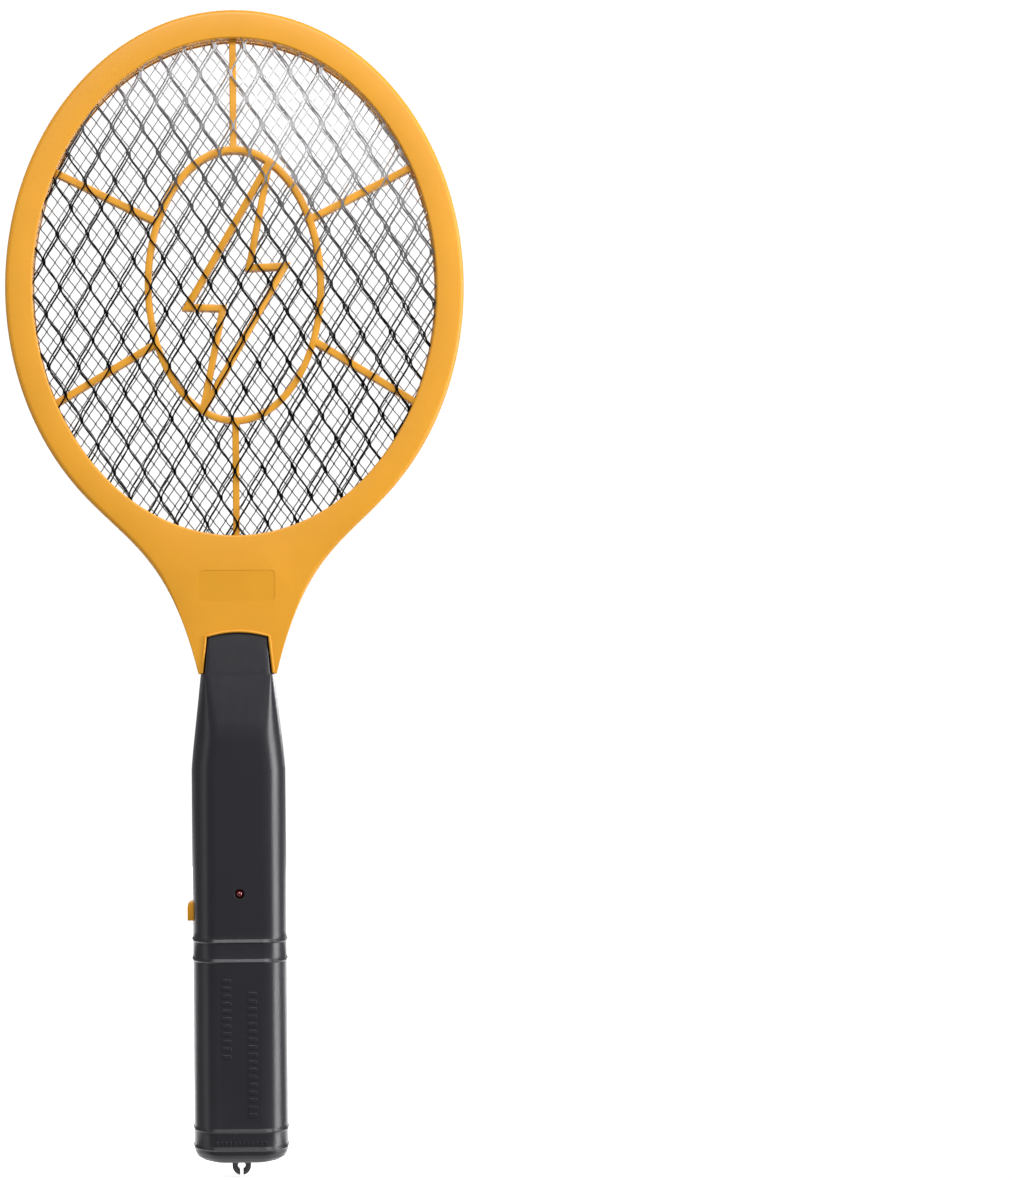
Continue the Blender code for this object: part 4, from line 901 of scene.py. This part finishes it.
def build_screw(node):
    """A pan-head screw with a cross recess and a thread-like shank."""
    low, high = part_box(node)
    x, z = (low.x + high.x) / 2, (low.z + high.z) / 2
    seat, top = high.y - SCREW_HEAD_HEIGHT, high.y
    shank = SCREW_SHANK_RADIUS
    profile = [(0.0003, low.y), (shank * 0.8, low.y + 0.001)]
    pitch = (seat - low.y - 0.0012) / SCREW_TURNS
    for k in range(SCREW_TURNS):
        start = low.y + 0.001 + k * pitch
        profile += [(shank * 0.78, start + 0.3 * pitch), (shank, start + 0.55 * pitch)]
    profile += [(shank * 0.8, seat - 0.0001), (SCREW_HEAD_RADIUS, seat)]
    for a in np.linspace(0.2, math.pi / 2, 6):
        profile.append((SCREW_HEAD_RADIUS * (0.55 + 0.45 * math.cos(a)), seat + 0.0003
                        + (SCREW_HEAD_HEIGHT - 0.0003) * math.sin(a)))
    screw = turned(f"visual_{node}", profile, (x, 0, z), "Y", 28)
    arm, blade, depth = SCREW_SLOT
    slots = [box("slot", (x - across, top - depth, z - along), (x + across, top + OVERSHOOT, z + along))
             for across, along in ((arm, blade), (blade, arm))]
    combine(screw, "DIFFERENCE", *slots)
    settle(screw, "root", "steel", node)


def build_head():
    build_head_shell("visual_head_front_shell", -1)
    build_head_shell("visual_head_rear_shell", 1)
    for node, (pattern, bond_at, material) in NETS.items():
        build_net(node, bond_at, material, **pattern)
    for node in ("front_rib_frame", "rear_rib_frame"):
        build_rib_frame(node)
    for node in HEAD_SCREWS:
        build_screw(node)


# ---- handle
def section_at(z):
    """The section's four sizes at a height, with the creases above the grip softened."""
    heights = [station[0] for station in HANDLE_STATIONS]
    spread = 0.0
    if GRIP_TOP[0] < z < STEP_LOW_Z:
        spread = min(CREASE_SPREAD, z - GRIP_TOP[0], STEP_LOW_Z - z)
    elif z > STEP_HIGH_Z:
        spread = max(0.0, min(CREASE_SPREAD, z - STEP_HIGH_Z, HANDLE_TOP_Z - z))
    around = z + spread * np.linspace(-1, 1, 7)
    return [float(np.mean(np.interp(around, heights, [station[k] for station in HANDLE_STATIONS])))
            for k in range(1, 5)]


def rounded_polygon(points, radii, steps=5):
    """Round the corners of a closed outline with quadratic arcs of the radii given."""
    points = [np.array(p, float) for p in points]
    result = []
    for i, point in enumerate(points):
        before, after = points[i - 1], points[(i + 1) % len(points)]
        radius = radii[i]
        if radius <= 0:
            result.append(tuple(point))
            continue
        to_before, to_after = before - point, after - point
        reach_before = min(radius, 0.45 * np.linalg.norm(to_before))
        reach_after = min(radius, 0.45 * np.linalg.norm(to_after))
        start, end = point + unit(to_before) * reach_before, point + unit(to_after) * reach_after
        for k in range(steps + 1):
            t = k / steps
            result.append(tuple((1 - t) ** 2 * start + 2 * t * (1 - t) * point + t * t * end))
    return result


def half_section(z, side, parting, proud=0.0, reduce=0.0):
    """Half of the handle's section at a height, as a closed loop of (x, y)."""
    side_x, face_x, face_y, corner_y = [value + proud for value in section_at(z)]
    corner_x = side_x - CORNER_INSET
    points = [(side_x, 0), (corner_x, corner_y), (face_x, face_y)]
    points += [(-x, y) for x, y in points[::-1]]
    points += [(-x, -y) for x, y in points[1:3]] + [(x, -y) for x, y in points[2:0:-1]]
    corners = [SIDE_ROUND, FACE_ROUND, FACE_ROUND, SIDE_ROUND]
    radii = [0.0, *corners, 0.0, *corners]
    if reduce:
        points = [tuple(p) for p in inset(points, reduce)]
        radii = [0.4 * r for r in radii]
    loop = rounded_polygon(points, radii)
    half = [(x, side * y) for x, y in loop if y > 1e-6]
    half.sort(key=lambda p: -p[0])
    widest = max(x for x, _ in loop)
    return [(widest, side * parting), *half, (-widest, side * parting)]


def handle_loft(name, side, parting, heights, reduce=0.0):
    sections = []
    for z, proud in heights:
        sections.append([(x, y, z) for x, y in half_section(z, side, parting, proud, reduce)])
    return loft(name, sections)


def outer_heights():
    """Heights at which the outer skin is sampled, each with how proud a bead stands there."""
    foot, grip_foot, grip_top = HANDLE_STATIONS[0][0], GRIP_FOOT[0], GRIP_TOP[0]
    plain = [station[0] for station in HANDLE_STATIONS]
    plain += [*np.linspace(foot, grip_foot, 9)[1:-1], *GRIP_SAMPLES,
              *np.linspace(grip_top, HANDLE_TOP_Z, 34)[1:-1]]
    heights = {round(float(z), 6): 0.0 for z in plain}
    for middle in BEAD_HEIGHTS:
        for turn in np.linspace(-1, 1, 21):
            z = round(float(middle + turn * BEAD_HALF_WIDTH), 6)
            rise = BEAD_PROUD * float(np.interp(turn, (-1, BEAD_PEAK, 1), (0, 1, 0)))
            heights[z] = max(rise, heights.get(z, 0.0))
    return sorted(heights.items())


def cavity(name, side, low, high):
    heights = [low] + [s[0] for s in HANDLE_STATIONS if low < s[0] < high] + [high]
    return handle_loft(name, side, -GAP, [(z, 0.0) for z in heights], reduce=WALL)


def tongue_trim(name):
    wide, top, depth = TONGUE_TRIM
    half = [(0, top), (wide, top), (wide, TONGUE_CORNER_Z)]
    half += arch(TONGUE_HALF_WIDTH, TONGUE_CORNER_Z, TONGUE_ARCH_RISE)
    return plate(name, mirrored(half), (-depth, depth))


def button_opening(name):
    inner, half_depth, half_height = BUTTON_OPENING
    return box(name, (BUTTON_LOW.x, -half_depth, BUTTON_Z - half_height),
               (inner, half_depth, BUTTON_Z + half_height))


def lug_outline():
    slot = LUG_SLOT / 2
    centre_z = math.sqrt(LUG_RADIUS ** 2 - slot ** 2)
    outer_open = math.asin(slot / LUG_RADIUS)
    inner_open = math.asin(slot / LUG_HOLE_RADIUS)
    outer = [(LUG_RADIUS * math.sin(a), centre_z - LUG_RADIUS * math.cos(a))
             for a in np.linspace(outer_open, math.pi / 2, 20)]
    outer += [(LUG_RADIUS, LUG_ROOT_TOP_Z), (-LUG_RADIUS, LUG_ROOT_TOP_Z)]
    outer += [(-x, z) for x, z in outer[19::-1]]
    inner = [(LUG_HOLE_RADIUS * math.sin(a), centre_z - LUG_HOLE_RADIUS * math.cos(a))
             for a in np.linspace(2 * math.pi - inner_open, inner_open, 32)]
    return outer + inner


def moulded_pips():
    """Blank raised bars in the two columns and the short row where such handles carry moulding."""
    spots = []
    for x, top_z, foot_z in PIP_COLUMNS:
        count = round((top_z - foot_z) / PIP_PITCH)
        spots += [(x, top_z - k * PIP_PITCH, PIP_SIZE) for k in range(count + 1)]
    spots += [(x, PIP_ROW_Z, PIP_ROW_SIZE)
              for x in np.linspace(-PIP_ROW_HALF_WIDTH, PIP_ROW_HALF_WIDTH, PIP_ROW_COUNT)]
    pips = []
    for i, (x, z, (width, height)) in enumerate(spots):
        outline = rounded_rectangle(width, height, (x, z), 0.3 * min(width, height), 3)
        span = (-GRIP_FACE_Y - PIP_PROUD, -GRIP_FACE_Y + PIP_ROOT)
        pips.append(rounded_plate(f"pip_{i}", outline, span, 0.6 * PIP_PROUD))
    return join("pips", pips)


def build_front_handle(heights, floor):
    front = handle_loft("visual_handle_front_shell", -1, PARTING, heights)
    flare_radius = LED_HOLE_RADIUS + LED_HOLE_CHAMFER
    profile = [(LED_HOLE_RADIUS, y) for y in LED_HOLE_Y]
    profile += [(flare_radius, -GRIP_FACE_Y - 0.00005), (flare_radius, -GRIP_FACE_Y - OVERSHOOT)]
    led_hole = turned("led_hole", profile, (0, 0, LED_Z), "Y", 40)
    lug_notch = box("lug_notch", (-LUG_RADIUS - GAP, -LUG_HALF_THICKNESS - GAP, -OVERSHOOT),
                    (LUG_RADIUS + GAP, OVERSHOOT, floor + GAP))
    combine(front, "DIFFERENCE", cavity("front_cavity", -1, floor, HANDLE_TOP_Z + OVERSHOOT), led_hole,
            lug_notch, button_opening("front_button"), tongue_trim("front_trim"))
    combine(front, "UNION", moulded_pips())
    settle(front, "root", "black_plastic", "handle_front_shell")


def build_rear_handle(heights, floor):
    rear = handle_loft("visual_handle_rear_shell", 1, PARTING, heights)
    rooms = [cavity("room_0", 1, floor, COMPARTMENT[0] - WALL), cavity("room_1", 1, *COMPARTMENT),
             cavity("room_2", 1, COMPARTMENT[1] + WALL, HANDLE_TOP_Z + OVERSHOOT)]
    combine(rear, "DIFFERENCE", join("rooms", rooms))
    lug = rounded_plate("lug", lug_outline(), (-LUG_HALF_THICKNESS, LUG_HALF_THICKNESS), LUG_ROUND)
    posts = [turned(f"post_{i}", ((POST_RADIUS, PARTING), (POST_RADIUS, POST_END_Y)), (x, 0, z), "Y", 32)
             for i, (x, z) in enumerate(screw_spots(HANDLE_SCREWS))]
    combine(rear, "UNION", join("added", [lug, *posts]))
    holes = screw_hole_cutter("handle_holes", screw_spots(HANDLE_SCREWS),
                              GRIP_FACE_Y - SCREW_HEAD_HEIGHT, GRIP_FACE_Y)
    opening = box("door_opening", (-DOOR_OPENING_HALF_WIDTH, CELL_Y, DOOR_LOW.z - GAP),
                  (DOOR_OPENING_HALF_WIDTH, GRIP_FACE_Y + OVERSHOOT, DOOR_HIGH.z + GAP))
    combine(rear, "DIFFERENCE", holes, opening, button_opening("rear_button"), tongue_trim("rear_trim"))
    settle(rear, "root", "black_plastic", "handle_rear_shell")


def build_handle():
    heights = outer_heights()
    floor = HANDLE_FOOT_Z + WALL
    build_front_handle(heights, floor)
    build_rear_handle(heights, floor)
    for node in HANDLE_SCREWS:
        build_screw(node)


def build_door():
    """Battery door: bent plate with grip grooves and its latch tab."""
    _, side, face, face_y, corner_y = GRIP_TOP
    slope = (face_y - corner_y) / (side - CORNER_INSET - face)
    edge_x = DOOR_HIGH.x
    edge_y = face_y - slope * (edge_x - face)
    drop = DOOR_WALL * math.hypot(1, slope)
    inner_face = face - DOOR_WALL * (math.hypot(1, slope) - 1) / slope
    outer = [(edge_x, edge_y), (face, face_y), (-face, face_y), (-edge_x, edge_y)]
    lower = [(-edge_x, edge_y - drop), (-inner_face, face_y - DOOR_WALL),
             (inner_face, face_y - DOOR_WALL), (edge_x, edge_y - drop)]
    outline = rounded_polygon(outer + lower, [0, FACE_ROUND, FACE_ROUND, 0, 0, 0, 0, 0])
    door = plate("visual_battery_door", outline, (DOOR_LOW.z, DOOR_HIGH.z), axis="Z")
    round_edges(door, DOOR_ROUND, 2)
    latch = box("latch", (-LATCH_HALF_WIDTH, DOOR_LOW.y, LATCH_Z[0]),
                (LATCH_HALF_WIDTH, face_y - DOOR_WALL / 2, LATCH_Z[1]))
    combine(door, "UNION", latch)
    grooves = []
    end_radius, radius = GROOVE_RADII
    for k in range(GROOVE_COUNT):
        z = DOOR_HIGH.z - GROOVE_TOP - GROOVE_PITCH * k
        half = GROOVE_HALF_LENGTH - GROOVE_TAPER * abs(k - (GROOVE_COUNT - 1) / 2)
        profile = ((end_radius, -half), (radius, GROOVE_END - half), (radius, half - GROOVE_END),
                   (end_radius, half))
        grooves.append(turned(f"groove_{k}", profile, (0, face_y + 0.0001, z), "X", 16))
    combine(door, "DIFFERENCE", join("grooves", grooves))
    settle(door, "door", "black_plastic", "battery_door")


def build_button():
    """Side button: cap with a slanted corner, a retaining flange and a stem."""
    low, high = BUTTON_LOW, BUTTON_HIGH
    cap_x, flange_x = BUTTON_CAP_INNER_X, BUTTON_FLANGE_INNER_X
    top, foot = BUTTON_Z + BUTTON_HALF_CAP, BUTTON_Z - BUTTON_HALF_CAP
    stem_top, stem_foot = BUTTON_Z + BUTTON_HALF_STEM, BUTTON_Z - BUTTON_HALF_STEM
    nose_top, nose_middle, drop = BUTTON_NOSE
    outline = [(low.x, foot), (cap_x, foot), (cap_x, low.z), (flange_x, low.z), (flange_x, stem_foot),
               (high.x, stem_foot), (high.x, stem_top), (flange_x, stem_top), (flange_x, high.z),
               (cap_x, high.z), (cap_x, top), (low.x + nose_top, top),
               (low.x + nose_middle, top - drop / 2), (low.x, top - drop)]
    button = plate("visual_power_button", outline, (low.y, high.y))
    round_edges(button, BUTTON_ROUND, 3)
    settle(button, "button", "orange_plastic", "power_button")


def build_led():
    """Three-millimetre light: domed lens with a collar, on its two legs."""
    radius, collar, (collar_low, collar_high) = LED_RADIUS, LED_COLLAR_RADIUS, LED_COLLAR_Y
    profile = [(radius * math.sin(a), LED_LOW.y + radius * (1 - math.cos(a)))
               for a in np.linspace(0.12, math.pi / 2, 9)]
    profile += [(radius, collar_low), (collar, collar_low + 0.0001), (collar, collar_high - 0.0001),
                (radius, collar_high)]
    led = turned("visual_indicator_led", profile, (0, 0, LED_Z), "Y", 32)
    half = LED_LEG_HALF_WIDTH
    legs = [box("leg", (x - half, collar_high - 0.0002, LED_Z - half), (x + half, LED_HIGH.y, LED_Z + half))
            for x in (-LED_LEG_X, LED_LEG_X)]
    combine(led, "UNION", join("legs", legs))
    settle(led, "root", "red_lens", "indicator_led")


# ---- insides
def build_cell(node, flipped):
    """An AA cell with rounded rims, sunk end plates and its nub; flipped puts the nub at the foot."""
    low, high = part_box(node)
    x, y = (low.x + high.x) / 2, (low.y + high.y) / 2
    radius, length = (high.x - low.x) / 2, high.z - low.z
    nub, nub_height = CELL_NUB
    top, rim = length - nub_height, CELL_ROUND
    profile = [(radius - 0.0012, 0.0), (radius - 0.0010, 0.00025), (radius - rim, 0.0),
               (radius - rim / 3, rim / 3), (radius, rim), (radius, top - rim),
               (radius - rim / 3, top - rim / 3), (radius - rim, top), (radius - 0.0010, top - 0.00025),
               (nub + rim, top - 0.0002), (nub, top), (nub, length - 0.0003), (nub - 0.0003, length)]
    if flipped:
        profile = [(r, length - h) for r, h in profile[::-1]]
    cell = turned(f"visual_{node}", profile, (x, y, low.z), "Z", 48)
    settle(cell, "root", "cell_sleeve", node)
    cell.data.materials.append(MATERIALS["steel"])
    for face in cell.data.polygons:
        if math.hypot(face.center.x - x, face.center.y - y) < radius - 0.0008:
            face.material_index = 1


def build_spring(node):
    """A contact spring that narrows towards its top."""
    low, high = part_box(node)
    centre_x = math.copysign(CELL_X, low.x + high.x)
    foot, top = low.z + SPRING_WIRE_RADIUS, high.z - SPRING_WIRE_RADIUS
    points = []
    for t in np.linspace(0, 1, int(SPRING_TURNS * 28) + 1):
        angle = 2 * math.pi * SPRING_TURNS * t
        radius = SPRING_COIL_RADIUS * (1 - 0.25 * t)
        points.append((centre_x + radius * math.cos(angle), CELL_Y + radius * math.sin(angle),
                       foot + (top - foot) * t))
    spring = tube(f"visual_{node}", points, SPRING_WIRE_RADIUS, 10)
    settle(spring, "root", "steel", node)


def dress_cad_nodes():
    """Give the CAD nodes that stay on show their procedural materials."""
    slots = {entry["node"]: entry["material_slot"] for entry in frame["record"]["subparts"]}
    for name, node in frame["nodes"].items():
        if node.hide_render:
            continue
        node.data.materials.clear()
        node.data.materials.append(MATERIALS[slots[name]])
        node.data.shade_smooth()
        node.data.set_sharp_from_angle(angle=math.radians(35))


# ---- stage, lights
def build_stage():
    place = (0, FLOOR_CENTRE_Y, cad_box[0].z - FLOOR_DROP)
    bpy.ops.mesh.primitive_circle_add(vertices=128, radius=FLOOR_RADIUS, fill_type="NGON", location=place)
    floor = bpy.context.object
    floor.name = "floor"
    nodes = Nodes("pale floor", (0.9, 0.9, 0.9), 0.6, Emission_Strength=0.70,
                  Emission_Color=(1.0, 1.0, 1.0, 1.0))
    nodes.tint(nodes.noise(8, 3), (0.895,) * 3, (0.905,) * 3)
    floor.data.materials.append(nodes.material)


def area_light(name, location, target, size, power):
    data = bpy.data.lights.new(name, "AREA")
    data.shape = "RECTANGLE"
    data.size, data.size_y = size
    data.energy = power
    light = add_object(name, data)
    light.location = location
    light.rotation_euler = (Vector(target) - Vector(location)).to_track_quat("-Z", "Y").to_euler()


def build_lights():
    """A soft grey surround that the camera sees as white, and the area lights."""
    world = bpy.data.worlds.new("studio")
    bpy.context.scene.world = world
    world.use_nodes = True
    tree = world.node_tree
    surround = tree.nodes["Background"]
    surround.inputs["Color"].default_value = (*SURROUND, 1)
    white = tree.nodes.new("ShaderNodeBackground")
    white.inputs["Color"].default_value = (1, 1, 1, 1)
    white.inputs["Strength"].default_value = BACKDROP_STRENGTH
    path = tree.nodes.new("ShaderNodeLightPath")
    mix = tree.nodes.new("ShaderNodeMixShader")
    tree.links.new(path.outputs["Is Camera Ray"], mix.inputs["Fac"])
    tree.links.new(surround.outputs["Background"], mix.inputs[1])
    tree.links.new(white.outputs["Background"], mix.inputs[2])
    tree.links.new(mix.outputs["Shader"], tree.nodes["World Output"].inputs["Surface"])
    for name, settings in LIGHTS.items():
        area_light(name, *settings)


def build_camera():
    data = bpy.data.cameras.new("camera")
    data.sensor_width = 36.0
    data.lens = data.sensor_width * CAMERA_DISTANCE / VISIBLE_HEIGHT
    data.shift_x = SHIFT_X
    data.clip_start = 0.05
    data.clip_end = 20
    camera = add_object("camera", data)
    middle_z = (cad_box[0].z + cad_box[1].z) / 2 + CAMERA_RISE
    camera.matrix_world = (Matrix.Translation((0, -CAMERA_DISTANCE, middle_z))
                           @ Matrix.Rotation(CAMERA_LEAN, 4, "Y")
                           @ Matrix.Rotation(math.pi / 2, 4, "X"))
    bpy.context.scene.camera = camera


bpy.context.scene.view_settings.view_transform = "Standard"
build_camera()
build_head()
build_handle()
build_door()
build_button()
build_led()
build_cell("battery_cell_left", False)
build_cell("battery_cell_right", True)
build_spring("battery_spring_lower")
build_spring("battery_spring_upper")
dress_cad_nodes()
build_stage()
build_lights()
